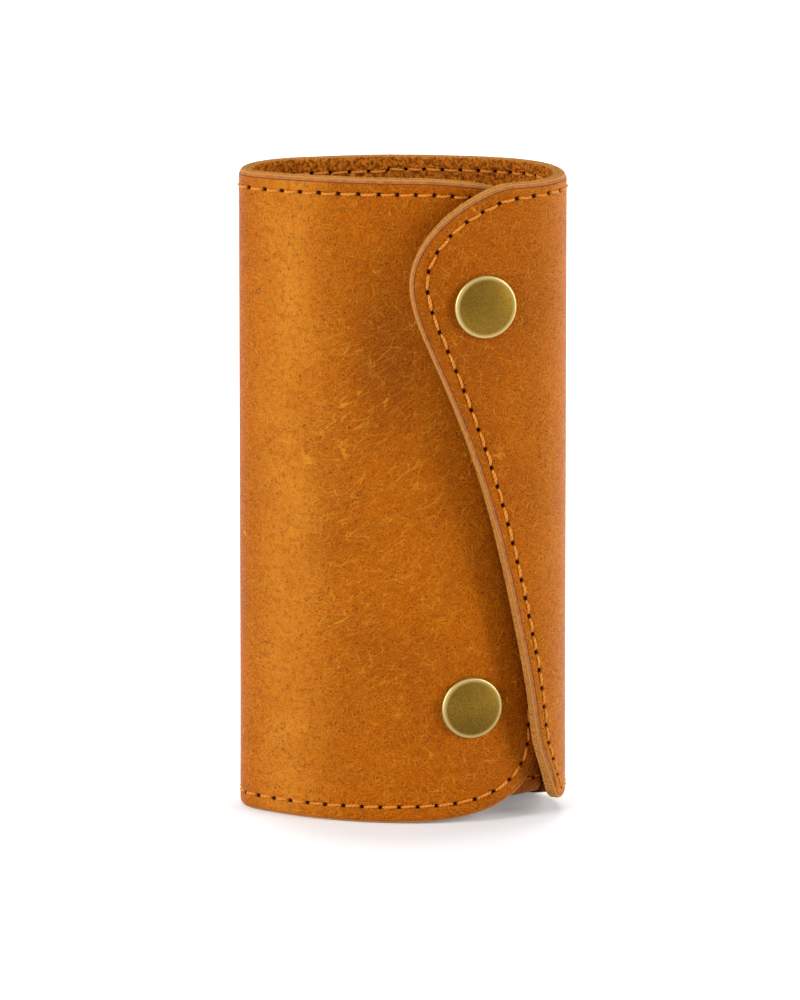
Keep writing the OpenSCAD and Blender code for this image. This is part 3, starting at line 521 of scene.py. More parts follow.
def stitches(bend, rim, holes, face_depth, way):
    """A row of threads on one face: each goes up out of one hole, over the leather in a slight
    bow, and down into the next. The centre's height is a flattened half sine wave, and its
    section is a circle that thins towards both holes."""
    many = len(holes) - 1
    t = np.linspace(0.0, 1.0, 11)[1:-1]
    turn = np.linspace(0.0, 2 * math.pi, 9)[:-1]
    drift = np.random.default_rng(11).normal(0.0, 1.0, (many, 3))
    t_, phi = t[None, :, None], turn[None, None, :]
    arch = np.sin(math.pi * t_)
    gaps = np.diff(holes)[:, None, None]
    radius = THREAD_R * (0.66 + 0.34 * arch ** 0.5) * (1 + 0.06 * drift[:, :1, None])
    bow = (THREAD_BOW + 0.05 * drift[:, 1:2, None]) * arch + way * THREAD_SLANT * (t_ - 0.5) * 2
    run = holes[:-1][:, None, None] + gaps * (0.07 + 0.86 * t_) + 0.0 * phi
    high = -THREAD_DIP * (1 - arch ** 0.6) + (THREAD_HIGH + 0.02 * drift[:, 2:3, None])
    inset = bow + radius * np.cos(phi)
    depth = face_depth - way * (high + radius * np.sin(phi))

    def spot(run_, inset_, depth_):
        l = np.interp(run_, rim.row, rim.l)
        flat = rim.at(l, inset_ + np.interp(l, rim.l, rim.inset))
        return place(bend, flat[..., 0], flat[..., 1], depth_)

    rings = spot(run, inset, depth + 0.0 * run)
    tip_depth = np.full(many, face_depth + way * THREAD_TIP_D)
    tips = [spot(holes[:-1] + np.diff(holes) * share, np.zeros(many), tip_depth)
            for share in (0.05, 0.95)]
    points, faces = ringed(rings, *tips)
    along = np.concatenate([np.broadcast_to(t_, rings.shape[:3]).reshape(many, -1),
                            np.zeros((many, 1)), np.ones((many, 1))], 1)
    around = np.broadcast_to(phi / (2 * math.pi), rings.shape[:3]).reshape(many, -1)
    around = np.concatenate([around, np.zeros((many, 2))], 1)
    return points, faces, np.stack([along + np.arange(many)[:, None], around], -1)


def stitch_row(name, bend, rim, holes, depth_in):
    """Threads on the outside and on the inside of one wall, as one piece"""
    rows = [stitches(bend, rim, holes, 0.0, 1.0), stitches(bend, rim, holes, depth_in, -1.0)]
    shift = len(rows[0][0])
    faces = rows[0][1] + [[i + shift for i in f] for f in rows[1][1]]
    uv = np.concatenate([r[2].reshape(-1, 2) for r in rows])
    return new_piece(name, np.concatenate([rows[0][0], rows[1][0]]), faces, thread, uv=uv)


def turned(name, centre, az, profile, material, steps=96):
    """A lathe piece: the profile of radius and height turns round the axis that faces out at az.
    Its worn mark grows over the outermost part of the radius."""
    r, h = np.array(profile, float).T
    phi = np.linspace(0.0, 2 * math.pi, steps + 1)[:-1]
    a = math.radians(az)
    out = np.array([math.sin(a), -math.cos(a), 0.0])
    right = np.array([math.cos(a), math.sin(a), 0.0])
    up = np.array([0.0, 0.0, 1.0])

    def spot(r_, h_, p_):
        return (np.array(centre) + (r_ * np.cos(p_))[..., None] * right
                + (r_ * np.sin(p_))[..., None] * up + (h_ + 0 * p_)[..., None] * out) * MM

    rings = spot(r[1:-1, None], h[1:-1, None], phi[None])[None]
    zero = np.zeros(1)
    points, faces = ringed(rings, spot(zero, h[:1], zero), spot(zero, h[-1:], zero))
    worn = np.clip((r / r.max() - 0.86) / 0.08, 0.0, 1.0)
    worn = np.concatenate([np.repeat(worn[1:-1], steps), worn[[0, -1]]])
    return new_piece(name, points, faces, material, worn=worn)


class Tree:
    """Short calls for the nodes of one material or node group"""

    def __init__(self, tree):
        self.tree = tree

    def put(self, kind, inputs=None, out=0, **props):
        node = self.tree.nodes.new(kind)
        for key, value in props.items():
            setattr(node, key, value)
        for key, value in (inputs or {}).items():
            if isinstance(value, bpy.types.NodeSocket):
                self.tree.links.new(value, node.inputs[key])
            else:
                node.inputs[key].default_value = value
        return node.outputs[out]

    def sum(self, operation, a, b=0.0):
        return self.put("ShaderNodeMath", {0: a, 1: b}, operation=operation)

    def mix(self, share, a, b):
        return self.put("ShaderNodeMix", {0: share, 6: a, 7: b}, out=2, data_type="RGBA")

    def range(self, value, low, high, to_low=0.0, to_high=1.0):
        return self.put("ShaderNodeMapRange", {0: value, 1: low, 2: high, 3: to_low, 4: to_high},
                        interpolation_type="SMOOTHSTEP")

    def noise(self, where, scale, detail=3.0, rough=0.55, warp=0.0):
        return self.put("ShaderNodeTexNoise", {"Vector": where, "Scale": scale, "Detail": detail,
                                               "Roughness": rough, "Distortion": warp})

    def cells(self, where, scale, feature="F1"):
        return self.put("ShaderNodeTexVoronoi", {"Vector": where, "Scale": scale}, out="Distance",
                        feature=feature)

    def mark(self, name):
        """One of the piece's own marks"""
        return self.put("ShaderNodeAttribute", attribute_name=name, out=2)

    def length(self, where):
        return self.put("ShaderNodeVectorMath", {0: where}, out=1, operation="LENGTH")

    def moved(self, where, scale=(1, 1, 1), turn=(0, 0, 0), shift=(0, 0, 0)):
        return self.put("ShaderNodeMapping", {"Vector": where, "Location": shift, "Scale": scale,
                                              "Rotation": turn})

    def warped(self, where, scale, amount):
        """The place, pushed aside by a soft noise"""
        push = self.put("ShaderNodeTexNoise", {"Vector": where, "Scale": scale, "Detail": 2.0},
                        out=1)
        centred = self.put("ShaderNodeVectorMath", {0: push, 1: (0.5, 0.5, 0.5)},
                           operation="SUBTRACT")
        moved = self.put("ShaderNodeVectorMath", {0: centred, 3: amount}, operation="SCALE")
        return self.put("ShaderNodeVectorMath", {0: where, 1: moved}, operation="ADD")

    def bump(self, height, distance, strength=1.0):
        return self.put("ShaderNodeBump", {"Height": height, "Distance": distance,
                                           "Strength": strength})


def rgb(r, g, b):
    """A colour as it looks on a screen, 0 to 255, made linear"""
    c = np.array([r, g, b]) / 255.0
    return (*np.where(c <= 0.04045, c / 12.92, ((c + 0.055) / 1.055) ** 2.4).tolist(), 1.0)


def effect(name, inputs, outputs):
    """An empty shader node group with named number or vector inputs and outputs"""
    group = bpy.data.node_groups.new(name, "ShaderNodeTree")
    for label, kind in inputs:
        group.interface.new_socket(name=label, in_out="INPUT", socket_type=kind)
    for label in outputs:
        group.interface.new_socket(name=label, in_out="OUTPUT", socket_type="NodeSocketFloat")
    tree = Tree(group)
    given = group.nodes.new("NodeGroupInput").outputs
    made = group.nodes.new("NodeGroupOutput").inputs
    return group, tree, given, made


# The creases hang in arcs that are lowest at this x, in mm. Then how round the arcs are there, how
# steeply they climb beside it, and how many cells there are per mm across and up
ARC_X, ARC_ROUND, ARC_CLIMB = -17.0, 40.0, 0.72
ARC_CELLS = (0.21, 0.52)
# The part of the front that they cover: one over its half sizes, and less its middle times these
CREASED_SCALE, CREASED_SHIFT = (0.055, 0.05, 0.022), (0.50, 0.85, -1.32)


def hide_grain():
    """Marks of full-grain hide, on places in mm: soft clouds of oil, a net of fine pale lines,
    a close speckle and dark pits, and on the standing case's own places the long creases that
    hang in arcs across the front, where the net is weaker. An arc's height is the height less a
    share of the root of the squared distance from the middle plus a constant."""
    group, t, given, made = effect(
        "hide_grain", [("Place", "NodeSocketVector"), ("Standing", "NodeSocketVector")],
        ["Clouds", "Lines", "Creases", "Speckle", "Pits"])
    link = group.links.new
    place_ = given["Place"]
    wide = t.noise(place_, 0.035, 2.0, 0.5, 0.5)
    middle = t.noise(t.warped(place_, 0.10, 5.0), 0.15, 4.0, 0.6, 0.6)
    link(t.sum("ADD", t.sum("MULTIPLY", wide, 0.6), t.sum("MULTIPLY", middle, 0.4)), made["Clouds"])

    split = t.tree.nodes.new("ShaderNodeSeparateXYZ")
    link(given["Standing"], split.inputs[0])
    across = t.sum("ADD", split.outputs[0], -ARC_X)
    bow = t.sum("SQRT", t.sum("ADD", t.sum("MULTIPLY", across, across), ARC_ROUND))
    arc = t.sum("SUBTRACT", split.outputs[2], t.sum("MULTIPLY", bow, ARC_CLIMB))
    flow = t.put("ShaderNodeCombineXYZ", {0: t.sum("MULTIPLY", across, ARC_CELLS[0]),
                                          1: t.sum("MULTIPLY", arc, ARC_CELLS[1])})
    flow = t.warped(t.warped(flow, 0.6, 0.8), 3.0, 0.13)
    away = t.length(t.moved(given["Standing"], scale=CREASED_SCALE, shift=CREASED_SHIFT))
    front = t.range(away, 0.6, 1.4, 1.0, 0.0)
    folds = t.range(t.cells(flow, 1.0, "DISTANCE_TO_EDGE"), 0.0, 0.05, 1.0, 0.0)
    patchy = t.range(t.noise(flow, 0.45, 3.0, 0.6), 0.42, 0.60)
    close = t.moved(flow, scale=(2.0, 2.1, 1.0))
    fine = t.range(t.cells(close, 1.0, "DISTANCE_TO_EDGE"), 0.0, 0.09, 0.7, 0.0)
    broken = t.range(t.noise(flow, 1.2, 3.0, 0.6), 0.42, 0.60)
    creases = t.sum("MAXIMUM", t.sum("MULTIPLY", folds, patchy), t.sum("MULTIPLY", fine, broken))
    link(t.sum("MULTIPLY", front, creases), made["Creases"])

    net = t.cells(t.warped(t.warped(place_, 0.22, 1.8), 1.6, 0.22), 0.46, "DISTANCE_TO_EDGE")
    small = t.cells(t.warped(place_, 0.9, 0.6), 1.0, "DISTANCE_TO_EDGE")
    gaps = t.range(t.noise(place_, 0.26, 3.0, 0.65), 0.42, 0.60)
    breaks = t.range(t.noise(place_, 0.5, 2.0, 0.6), 0.44, 0.62)
    lines = t.sum("MAXIMUM", t.sum("MULTIPLY", t.range(net, 0.0, 0.05, 1.0, 0.0), gaps),
                  t.sum("MULTIPLY", t.range(small, 0.0, 0.09, 0.45, 0.0), breaks))
    link(t.sum("MULTIPLY", lines, t.range(front, 0.0, 1.0, 1.0, 0.30)), made["Lines"])

    link(t.noise(place_, 2.6, 4.0, 0.75), made["Speckle"])
    dots = t.range(t.cells(t.warped(place_, 1.5, 0.4), 1.25), 0.08, 0.30, 1.0, 0.0)
    rare = t.range(t.noise(place_, 0.25, 3.0, 0.6), 0.42, 0.58)
    link(t.sum("MULTIPLY", dots, rare), made["Pits"])
    return group


HIDE_GRAIN = hide_grain()


def standing_place(t):
    """Places on the standing case, in mm"""
    return t.moved(t.put("ShaderNodeTexCoord", out="Object"), scale=(1.0 / MM,) * 3)


def grained(t, where):
    """The hide's marks at these places of one material"""
    node = t.tree.nodes.new("ShaderNodeGroup")
    node.node_tree = HIDE_GRAIN
    t.tree.links.new(where, node.inputs["Place"])
    t.tree.links.new(standing_place(t), node.inputs["Standing"])
    return node.outputs


def new_finish(name):
    """A new material, its tree, and the principled shader in it"""
    material = bpy.data.materials.new(name)
    material.use_nodes = True
    t = Tree(material.node_tree)
    shader = material.node_tree.nodes["Principled BSDF"]
    return material, t, shader


def wire(t, shader, **links):
    """Sets or links the shader's sockets by their names, with _ for a space"""
    for label, value in links.items():
        socket = shader.inputs[label.replace("_", " ")]
        if isinstance(value, bpy.types.NodeSocket):
            t.tree.links.new(value, socket)
        else:
            socket.default_value = value


def pattern_place(t):
    """Places on the sheet's flat pattern, in mm"""
    uv = t.put("ShaderNodeUVMap", uv_map="pattern")
    return t.moved(uv, scale=(1.0 / UV_PER_MM,) * 3)


# Darker spots, as middle, half sizes and share: painted shade beside the flap's lobe, and a darker
# patch over the lobe
DARKER_SPOTS = (((-3.0, -19.0, 92.0), (7.0, 14.0, 17.0), 0.7),
         ((8.5, -17.0, 94.0), (9.5, 14.0, 24.0), 0.36))


def darkened(t):
    """The share of darker hide: full within 0.4 of a spot's half sizes, and nothing past 1.4.
    Beside the lobe it is painted shade.
    """
    spots = []
    for centre, half, share in DARKER_SPOTS:
        near = t.moved(standing_place(t), scale=tuple(1.0 / h for h in half),
                       shift=tuple(-c / h for c, h in zip(centre, half)))
        spots.append(t.range(t.length(near), 0.4, 1.4, share, 0.0))
    return t.sum("MAXIMUM", *spots)


def raw_fibres(t, place_, dark, light):
    """The colour of a cut edge, where short fibres stand up"""
    return t.mix(t.range(t.noise(place_, 5.0, 3.0, 0.7), 0.35, 0.65), dark, light)


# Depths of relief in metres: of the grain, of the flesh side's nap, of the thread's plies and of
# the metal's satin
GRAIN_RELIEF, NAP_RELIEF, PLY_RELIEF, SATIN_RELIEF = 0.00026, 0.00045, 0.00004, 0.00001


def leather_finish(name, dark, mid, light, deep, pale):
    """Waxed pull-up hide: the oil moves in it, so it is darker and redder in clouds, and lighter
    along its lines and creases. Where it is bent it is lighter too, and that mask also holds
    painted highlight from the side lamps; beside the flap's lobe a darker spot is painted shade.
    The edge mark goes from 0 on the grain through the groove at 0.1 and the burnished bevel, with a
    painted highlight line near 0.5, to raw hide past 0.7."""
    material, t, shader = new_finish(name)
    place_ = pattern_place(t)
    grain = grained(t, place_)
    colour = t.mix(t.range(grain["Clouds"], 0.34, 0.64), dark, mid)
    # Lighter where the hide is bent, with painted highlight from the side lamps in the same mask
    bent = t.mark("bent")
    drawn_and_lit = t.range(t.noise(t.warped(place_, 0.12, 5.0), 0.10, 3.0, 0.6), 0.32, 0.68, 0.50, 1.0)
    colour = t.mix(t.sum("MULTIPLY", bent, drawn_and_lit), colour, light)
    # Painted shade beside the flap's lobe, and a darker patch over the lobe
    colour = t.mix(darkened(t), colour, deep)
    mottle = t.noise(place_, 0.8, 3.0, 0.65)
    colour = t.mix(t.range(mottle, 0.46, 0.66, 0.0, 0.42), colour, deep)
    close = t.sum("MULTIPLY", t.range(grain["Speckle"], 0.46, 0.62, 0.0, 0.75),
                  t.range(bent, 0.0, 1.0, 1.0, 0.45))
    colour = t.mix(close, colour, deep)
    colour = t.mix(t.range(grain["Speckle"], 0.48, 0.34, 0.0, 0.40), colour, light)
    colour = t.mix(t.sum("MULTIPLY", grain["Lines"], 0.56), colour, pale)
    colour = t.mix(t.sum("MULTIPLY", grain["Creases"], 0.62), colour, pale)
    colour = t.mix(t.sum("MULTIPLY", grain["Pits"], 0.7), colour, rgb(98, 40, 3))
    edge = t.mark("edge")
    worn = t.noise(place_, 0.9, 3.0, 0.6)
    burnish = t.mix(t.range(worn, 0.3, 0.7), rgb(186, 118, 68), rgb(156, 96, 60))
    raw = raw_fibres(t, place_, rgb(150, 88, 28), rgb(216, 150, 70))
    colour = t.mix(t.range(edge, 0.05, 0.13), colour, rgb(118, 60, 20))
    colour = t.mix(t.range(edge, 0.18, 0.28), colour, burnish)
    # A painted highlight line along the bevel
    colour = t.mix(t.range(edge, 0.46, 0.58), colour, rgb(204, 138, 68))
    colour = t.mix(t.range(edge, 0.62, 0.72), colour, raw)
    # Painted shade in the stitch holes
    hole = t.mark("hole")
    colour = t.mix(t.range(hole, 0.12, 0.6), colour, rgb(62, 25, 4))
    smooth_part = t.range(edge, 0.05, 0.3, 1.0, 0.15)
    height = t.sum("ADD", t.sum("MULTIPLY", grain["Speckle"], -0.8),
                   t.sum("MULTIPLY", grain["Lines"], 0.5))
    height = t.sum("ADD", height, t.sum("MULTIPLY", grain["Creases"], 0.45))
    height = t.sum("SUBTRACT", height, t.sum("MULTIPLY", grain["Pits"], 0.5))
    height = t.sum("MULTIPLY", height, smooth_part)
    nap = t.sum("MULTIPLY", t.noise(place_, 6.0, 3.0, 0.7), t.range(edge, 0.6, 0.8))
    height = t.sum("ADD", height, nap)
    normal = t.bump(height, GRAIN_RELIEF)
    rough = t.range(grain["Speckle"], 0.3, 0.7, 0.40, 0.56)
    rough = t.sum("ADD", rough, t.range(edge, 0.6, 0.8, 0.0, 0.35))
    wire(t, shader, Base_Color=colour, Roughness=rough, Normal=normal, Specular_IOR_Level=0.28,
         Specular_Tint=(1.0, 0.50, 0.10, 1.0))
    return material


def suede_finish(name, dark, light):
    """The hide's flesh side: short nap in tufts, with pale fibres standing out of dark hollows"""
    material, t, shader = new_finish(name)
    place_ = pattern_place(t)
    tufts = t.noise(t.warped(place_, 1.4, 0.9), 1.2, 5.0, 0.72, 0.4)
    combed = t.moved(t.warped(place_, 1.0, 1.4), scale=(1.0, 0.45, 1.0), turn=(0, 0, 0.6))
    fibres = t.noise(combed, 3.4, 4.0, 0.7)
    colour = t.mix(t.range(tufts, 0.37, 0.63), dark, light)
    colour = t.mix(t.range(fibres, 0.56, 0.74, 0.0, 0.8), colour, rgb(252, 184, 86))
    edge = t.mark("edge")
    raw = raw_fibres(t, place_, rgb(150, 90, 36), rgb(212, 152, 84))
    colour = t.mix(t.range(edge, 0.5, 0.8), colour, raw)
    # Painted shade in the stitch holes
    hole = t.mark("hole")
    colour = t.mix(t.range(hole, 0.35, 0.85), colour, rgb(44, 20, 6))
    height = t.sum("ADD", tufts, t.sum("MULTIPLY", fibres, 0.5))
    wire(t, shader, Base_Color=colour, Roughness=0.92, Normal=t.bump(height, NAP_RELIEF),
         Specular_IOR_Level=0.12, Specular_Tint=(1.0, 0.6, 0.3, 1.0))
    return material


def thread_finish():
    """Waxed linen: plies that wind round each other, with painted shade where they meet. The ply is
    a sine wave of a share of the length plus two turns of the way round."""
    material, t, shader = new_finish("waxed_thread")
    uv = t.put("ShaderNodeUVMap", uv_map="pattern")
    split = t.tree.nodes.new("ShaderNodeSeparateXYZ")
    t.tree.links.new(uv, split.inputs[0])
    wind = t.sum("SINE", t.sum("ADD", t.sum("MULTIPLY", split.outputs[0], 26.0),
                               t.sum("MULTIPLY", split.outputs[1], 12.566)))
    ply = t.range(wind, -1.0, 1.0)
    where = t.put("ShaderNodeTexCoord", out="Object")
    worn = t.noise(where, 900.0, 3.0, 0.6)
    # Darker where the plies meet: painted shade
    colour = t.mix(ply, rgb(206, 120, 32), rgb(236, 158, 66))
    colour = t.mix(t.range(worn, 0.35, 0.7, 0.0, 0.3), colour, rgb(176, 96, 22))
    height = t.sum("ADD", t.sum("MULTIPLY", ply, 0.4), t.sum("MULTIPLY", worn, 0.3))
    wire(t, shader, Base_Color=colour, Roughness=0.5, Normal=t.bump(height, PLY_RELIEF, 0.8),
         Specular_IOR_Level=0.3, Specular_Tint=(1.0, 0.7, 0.4, 1.0))
    return material


def metal_wear():
    """Marks of handled metal, on places in mm: a fine satin, soft tarnish clouds and small pits"""
    group, t, given, made = effect("metal_wear", [("Place", "NodeSocketVector")],
                                   ["Satin", "Tarnish", "Pits"])
    link = group.links.new
    place_ = given["Place"]
    link(t.noise(place_, 2.8, 3.0, 0.75), made["Satin"])
    link(t.noise(t.warped(place_, 0.2, 2.0), 0.11, 4.0, 0.55), made["Tarnish"])
    link(t.range(t.cells(place_, 1.6), 0.0, 0.16, 1.0, 0.0), made["Pits"])
    return group


METAL_WEAR = metal_wear()


def metal_finish(name, base, tarnished, polished, rough, tarnish):
    """Metal with soft tarnish; where the worn mark is, it is polished by handling."""
    material, t, shader = new_finish(name)
    where = standing_place(t)
    node = t.tree.nodes.new("ShaderNodeGroup")
    node.node_tree = METAL_WEAR
    t.tree.links.new(where, node.inputs["Place"])
    wear = node.outputs
    colour = t.mix(t.range(wear["Tarnish"], 0.25, 0.8, 0.0, tarnish), base, tarnished)
    colour = t.mix(t.range(wear["Satin"], 0.40, 0.66, 0.0, 1.4 * tarnish), colour, tarnished)
    colour = t.mix(t.mark("worn"), colour, polished)
    shine = t.range(wear["Satin"], 0.3, 0.7, rough - 0.05, rough + 0.07)
    height = t.sum("SUBTRACT", t.sum("MULTIPLY", wear["Satin"], 0.4),
                   t.sum("MULTIPLY", wear["Pits"], 0.4))
    wire(t, shader, Base_Color=colour, Metallic=1.0, Roughness=shine,
         Normal=t.bump(height, SATIN_RELIEF, 0.6))
    return material


# Colours of hide: dark and middle clouds, where it is drawn lighter (with painted highlight), the
# darker colour (also for painted shade beside the flap's lobe), and its pale lines
hide = leather_finish("waxed_hide", rgb(176, 86, 1), rgb(196, 101, 2), rgb(224, 137, 38),
                      rgb(134, 58, 1), rgb(236, 154, 42))
# The tab's hide: the same hide drawn lighter, painted light that makes up for the shade inside the
# case where the tab sits
tab_hide_lit = leather_finish("tab_hide_lit", rgb(206, 112, 16), rgb(224, 128, 22), rgb(226, 136, 34),
                          rgb(176, 88, 10), rgb(228, 146, 46))
suede = suede_finish("flesh_side", rgb(116, 51, 6), rgb(240, 140, 36))
thread = thread_finish()
brass = metal_finish("aged_brass", (0.20, 0.114, 0.016, 1.0), (0.092, 0.052, 0.006, 1.0),
                     (0.46, 0.34, 0.13, 1.0), 0.38, 0.5)
nickel = metal_finish("satin_nickel", (0.56, 0.53, 0.48, 1.0), (0.36, 0.33, 0.29, 1.0),
                      (0.66, 0.64, 0.60, 1.0), 0.28, 0.14)

# Edge profiles from the outer face to the inner one: inset, depth, edge mark, sign of the wells
ROW = [STITCH_INSET + step for step in
       (0.95, 0.62, 0.42, 0.26, 0.13, 0.0, -0.13, -0.26, -0.42, -0.62, -0.95, -1.35)]
FACE = [(BAND_W, 0.0, 0.0, 1.0)] + [(a, 0.0, 0.0, 1.0) for a in ROW]
BEVEL = [(1.26, 0.0, 0.0), (1.12, 0.01, 0.05), (1.03, 0.04, 0.13), (0.95, 0.06, 0.20),
         (0.80, 0.10, 0.28), (0.62, 0.17, 0.38), (0.46, 0.25, 0.45), (0.30, 0.36, 0.60),
         (0.15, 0.50, 0.72), (0.05, 0.66, 0.85), (0.01, 0.9, 1.0), (0.0, 1.2, 1.0),
         (0.02, 1.47, 1.0)]
LEATHER_EDGE = FACE + [(a, d, m, 0.0) for a, d, m in BEVEL] + [
    (0.3, LEATHER_T, 1.0, 0.0), (2.0, LEATHER_T, 1.0, 0.0), (BAND_W, LEATHER_T, 1.0, 0.0)]
LINING_EDGE = [(BAND_W, LEATHER_T, 0.0, 0.0), (2.0, LEATHER_T, 1.0, 0.0),
               (0.4, LEATHER_T, 1.0, 0.0), (0.06, 1.53, 1.0, 0.0), (0.02, 1.75, 1.0, 0.0),
               (0.03, 2.0, 1.0, 0.0), (0.08, 2.25, 0.9, 0.0), (0.2, 2.45, 0.7, 0.0),
               (0.38, 2.56, 0.4, 0.0), (0.7, 2.6, 0.1, 0.0)] + [
    (a, WALL_T, 0.0, -1.0) for a in ROW[::-1]] + [(BAND_W, WALL_T, 0.0, -1.0)]
# The tab's leather and lining are thinner, so their depths shrink to match.
TAB_EDGE = [(a, d * 0.8, m, w) for a, d, m, w in LEATHER_EDGE]
TAB_LINING_EDGE = [(a, TAB_LEATHER_T + (d - LEATHER_T) * 0.9 / 1.1, m, w)
                   for a, d, m, w in LINING_EDGE]

# Places of the caps, and the directions in which they face
UPPER_CAP = ((15.7815, -17.4186, 102.844), 15.2736)
LOWER_CAP = ((13.4505, -12.7246, 23.1495), 15.6111)


def pressed(bend, first, cap):
    """Where a cap presses its leather down: its place on the pattern, its radius and the depth"""
    x, _, z = cap[0]
    return float(bend.s_at_x(x, first)), z, CAP_R, PRESS_D


right_holes = stitch_holes(0.0, *RIGHT_HOLES, right_rim.row[-1])
left_holes = stitch_holes(0.0, *LEFT_HOLES, left_rim.row[-1])
tab_holes = stitch_holes(TAB_END_HOLE, tab_rim.row[-1] - TAB_END_HOLE)
right_leather = sheet("wrap_right_leather", right_bend, right_rim, LEATHER_EDGE, hide, (64, 96),
                      right_holes, presses=[pressed(right_bend, s_foot, UPPER_CAP)])
left_leather = sheet("wrap_left_leather", left_bend, left_rim, LEATHER_EDGE, hide, (84, 96),
                     left_holes, side=-1.0, presses=[pressed(left_bend, s_left, LOWER_CAP)])
right_lining = sheet("wrap_right_lining", right_bend, right_rim, LINING_EDGE, suede, (60, 90),
                     right_holes)
left_lining = sheet("wrap_left_lining", left_bend, left_rim, LINING_EDGE, suede, (80, 90),
                    left_holes, side=-1.0)
tab_leather = sheet("tab_leather_sheet", tab_bend, tab_rim, TAB_EDGE, tab_hide_lit, (34, 30),
                    tab_holes)
tab_lining = sheet("tab_lining_sheet", tab_bend, tab_rim, TAB_LINING_EDGE, suede, (30, 26),
                   tab_holes)
right_thread = stitch_row("wrap_right_thread", right_bend, right_rim, right_holes, WALL_T)
left_thread = stitch_row("wrap_left_thread", left_bend, left_rim, left_holes, WALL_T)
tab_thread = stitch_row("tab_thread", tab_bend, tab_rim, tab_holes, TAB_T)

for piece, slot_name, nodes in (
        (right_leather, "leather", ("back_leather", "flap_leather")),
        (left_leather, "leather", ("panel_leather",)),
        (right_lining, "lining", ("back_lining", "flap_lining")),
        (left_lining, "lining", ("panel_lining",)),
        (tab_leather, "tab_leather", ("tab_leather", "tab_base_leather")),
        (tab_lining, "lining", ("tab_lining", "tab_base_lining")),
        (right_thread, "thread", ("back_stitching", "flap_stitching")),
        (left_thread, "thread", ("panel_stitching",)),
        (tab_thread, "thread", ("tab_stitching",))):
    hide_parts(*nodes)

# Each piece's transform is baked into its points.
for piece in (right_leather, right_lining, right_thread):
    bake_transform(piece)
for piece in (left_leather, left_lining, left_thread):
    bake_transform(piece)
for piece in (tab_leather, tab_lining, tab_thread):
    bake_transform(piece)


def cap_profile(r, h, sunk, lip):
    """A pressed cap: flat underneath, a rolled rim of radius `lip`, a fine step, and a low dome
    that is part of a circle"""
    a = np.radians(np.linspace(-90.0, 84.0, 16))
    rim = np.stack([r - lip + lip * np.cos(a), -sunk + lip * (1 + np.sin(a))], 1)
    edge_r, edge_h = r - lip - 0.10, -sunk + 2 * lip - 0.04
    k = np.linspace(1.0, 0.0, 14)[:, None]
    ball = (edge_r ** 2 + (h - edge_h) ** 2) / (2 * (h - edge_h))
    dome = np.concatenate([edge_r * k, h - ball + np.sqrt(ball ** 2 - (edge_r * k) ** 2)], 1)
    return np.concatenate([[[0.0, -sunk]], rim, dome])


def fit_cap(name, cap, body, node):
    """A turned cap in its node's place, on its body"""
    piece = turned(name, *cap, cap_profile(CAP_R, h=1.3, sunk=0.35, lip=0.5), brass)
    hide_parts(node)
    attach(piece, body)


fit_cap("upper_cap", UPPER_CAP, "flap", "upper_snap_cap")
fit_cap("lower_cap", LOWER_CAP, "front_panel", "lower_snap_cap")

nickel_nodes = ["key_plate", "hook_rod"] + [f"{part}_{i}" for part in ("hook", "gate")
                                            for i in range(1, 7)]
brass_nodes = ["plate_rivets", "rivet_caps"] + [
    f"{level}_{part}" for level in ("upper", "lower")
    for part in ("snap_socket", "snap_stud", "stud_post")]
for finish, nodes in ((nickel, nickel_nodes), (brass, brass_nodes)):
    for node in nodes:
        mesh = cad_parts[node].data
        mesh.materials.clear()
        mesh.materials.append(finish)


def lens_rays(t):
    """1 for what the lens sees, itself or in metal and glass, and 0 for the light on things"""
    kinds = [t.put("ShaderNodeLightPath", out=f"Is {kind} Ray")
             for kind in ("Camera", "Glossy", "Transmission")]
    return t.sum("MAXIMUM", t.sum("MAXIMUM", kinds[0], kinds[1]), kinds[2])


# The paper's own two greys, and a lighter, cooler colour close to the case, painted against the
# warm light that the leather throws on the paper there
PAPER = ((0.71, 0.72, 0.73, 1), (0.73, 0.74, 0.75, 1))
PAPER_CLOSE = (0.86, 0.90, 0.92, 1)


def floor_finish():
    """White paper. To the lens it glows white far from the object, and less and less towards it,
    so that the object's shadow shows on the plain paper there. Right under the case the glow dips
    further, a painted shadow."""
    material = bpy.data.materials.new("white_paper")
    material.use_nodes = True
    t = Tree(material.node_tree)
    nodes = material.node_tree.nodes
    nodes.remove(nodes["Principled BSDF"])
    where = t.put("ShaderNodeTexCoord", out="Object")
    away = t.length(where)
    near = t.range(away, 0.034, 0.13, 0.70, 0.0)
    # Painted shadow: the glow dips further right under the case
    shadow_under = t.range(away, 0.020, 0.034, 0.13, 0.0)
    beside = t.range(away, 0.034, 0.070, 1.0, 0.0)
    seen = lens_rays(t)
    grain = t.range(t.noise(where, 60.0, 3.0, 0.5), 0.0, 1.0, 0.99, 1.0)
    bright = t.sum("SUBTRACT", t.sum("SUBTRACT", 1.0, near), shadow_under)
    glow = t.put("ShaderNodeEmission", {"Color": (1, 1, 1, 1),
                                        "Strength": t.sum("MULTIPLY", seen, bright)})
    colour = t.mix(beside, t.mix(grain, *PAPER), PAPER_CLOSE)
    paper = t.put("ShaderNodeBsdfDiffuse", {"Color": colour})
    both = t.put("ShaderNodeAddShader", {0: glow, 1: paper})
    t.tree.links.new(both, nodes["Material Output"].inputs["Surface"])
    return material


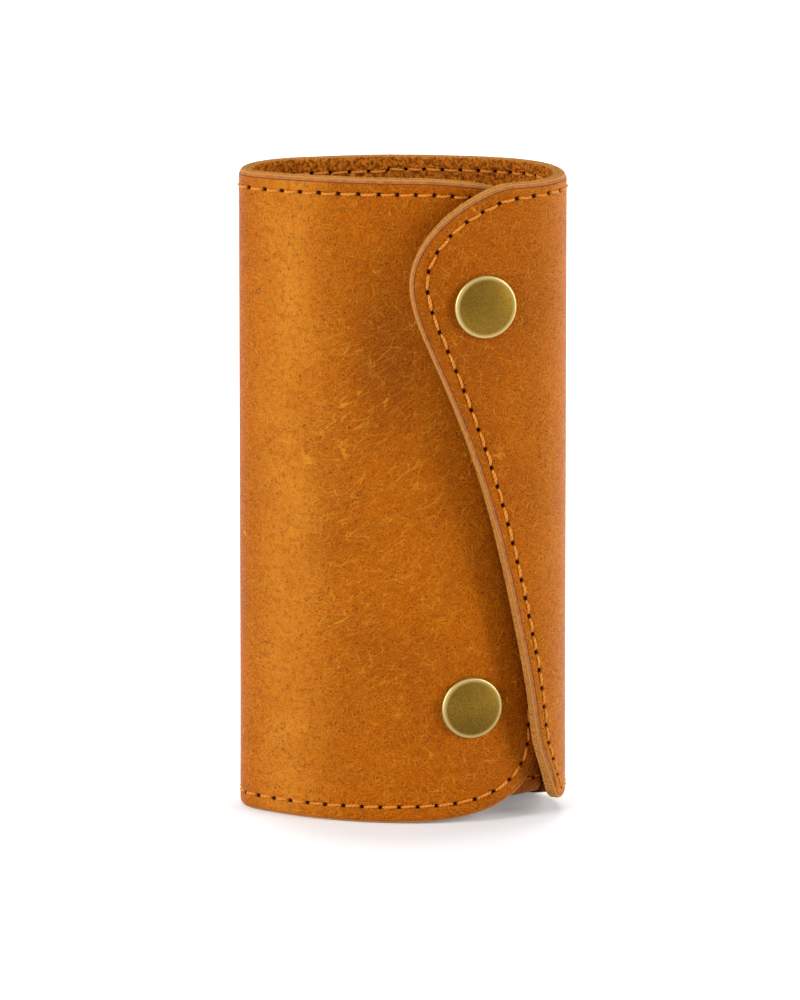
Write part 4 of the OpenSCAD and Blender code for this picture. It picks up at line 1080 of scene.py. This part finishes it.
def flat_floor(half, steps):
    """A level grid round the object at height 0"""
    side = np.linspace(-half, half, steps)
    x, y = np.meshgrid(side, side, indexing="ij")
    index = np.arange(steps * steps).reshape(steps, steps)
    mesh = bpy.data.meshes.new("floor")
    mesh.from_pydata(np.stack([x, y, 0 * x], -1).reshape(-1, 3).tolist(), [], quads(index).tolist())
    mesh.materials.append(floor_finish())
    piece = bpy.data.objects.new("floor", mesh)
    bpy.context.scene.collection.objects.link(piece)
    return piece


flat_floor(6.0, 9)

# The world's own light on the object. To the lens it is white.
SKY = 0.08
world = bpy.data.worlds.new("studio")
bpy.context.scene.world = world
world.use_nodes = True
sky = Tree(world.node_tree)
strength = sky.sum("ADD", sky.sum("MULTIPLY", lens_rays(sky), 1.0 - SKY), SKY)
world.node_tree.links.new(strength, world.node_tree.nodes["Background"].inputs["Strength"])
world.node_tree.nodes["Background"].inputs["Color"].default_value = (1, 1, 1, 1)


def soft_light(name, place_, size, power, aim=(0.0, 0.0, 0.06)):
    """A lamp of this width and height that faces the middle of the case"""
    light = bpy.data.lights.new(name, "AREA")
    light.shape = "RECTANGLE"
    light.size, light.size_y = size
    light.energy = power
    lamp = bpy.data.objects.new(name, light)
    bpy.context.scene.collection.objects.link(lamp)
    away = np.array(place_) - np.array(aim)
    lamp.location = place_
    lamp.rotation_euler = (math.acos(away[2] / np.linalg.norm(away)), 0.0,
                           math.atan2(away[1], away[0]) + math.pi / 2)


soft_light("left_light", (-0.87, -0.50, 0.40), (0.35, 0.9), 10.3)
soft_light("right_light", (0.92, -0.36, 0.35), (0.35, 0.8), 8.2)
soft_light("front_light", (0.05, -1.1, 0.70), (0.6, 0.5), 0.6)
soft_light("top_light", (0.0, 0.26, 0.97), (0.6, 0.6), 5.2)
soft_light("back_light", (0.15, 1.1, 0.55), (0.8, 0.6), 1.2)

camera_data = bpy.data.cameras.new("camera")
camera_data.lens = 193.7
camera_data.sensor_width = 36.0
camera_data.clip_start, camera_data.clip_end = 0.05, 30.0
camera = bpy.data.objects.new("camera", camera_data)
bpy.context.scene.collection.objects.link(camera)
camera.location = (-0.00046, -1.02352, 0.2825)
camera.rotation_euler = (math.radians(77.82), 0.0, 0.0)
bpy.context.scene.camera = camera
bpy.context.scene.view_settings.view_transform = "Standard"
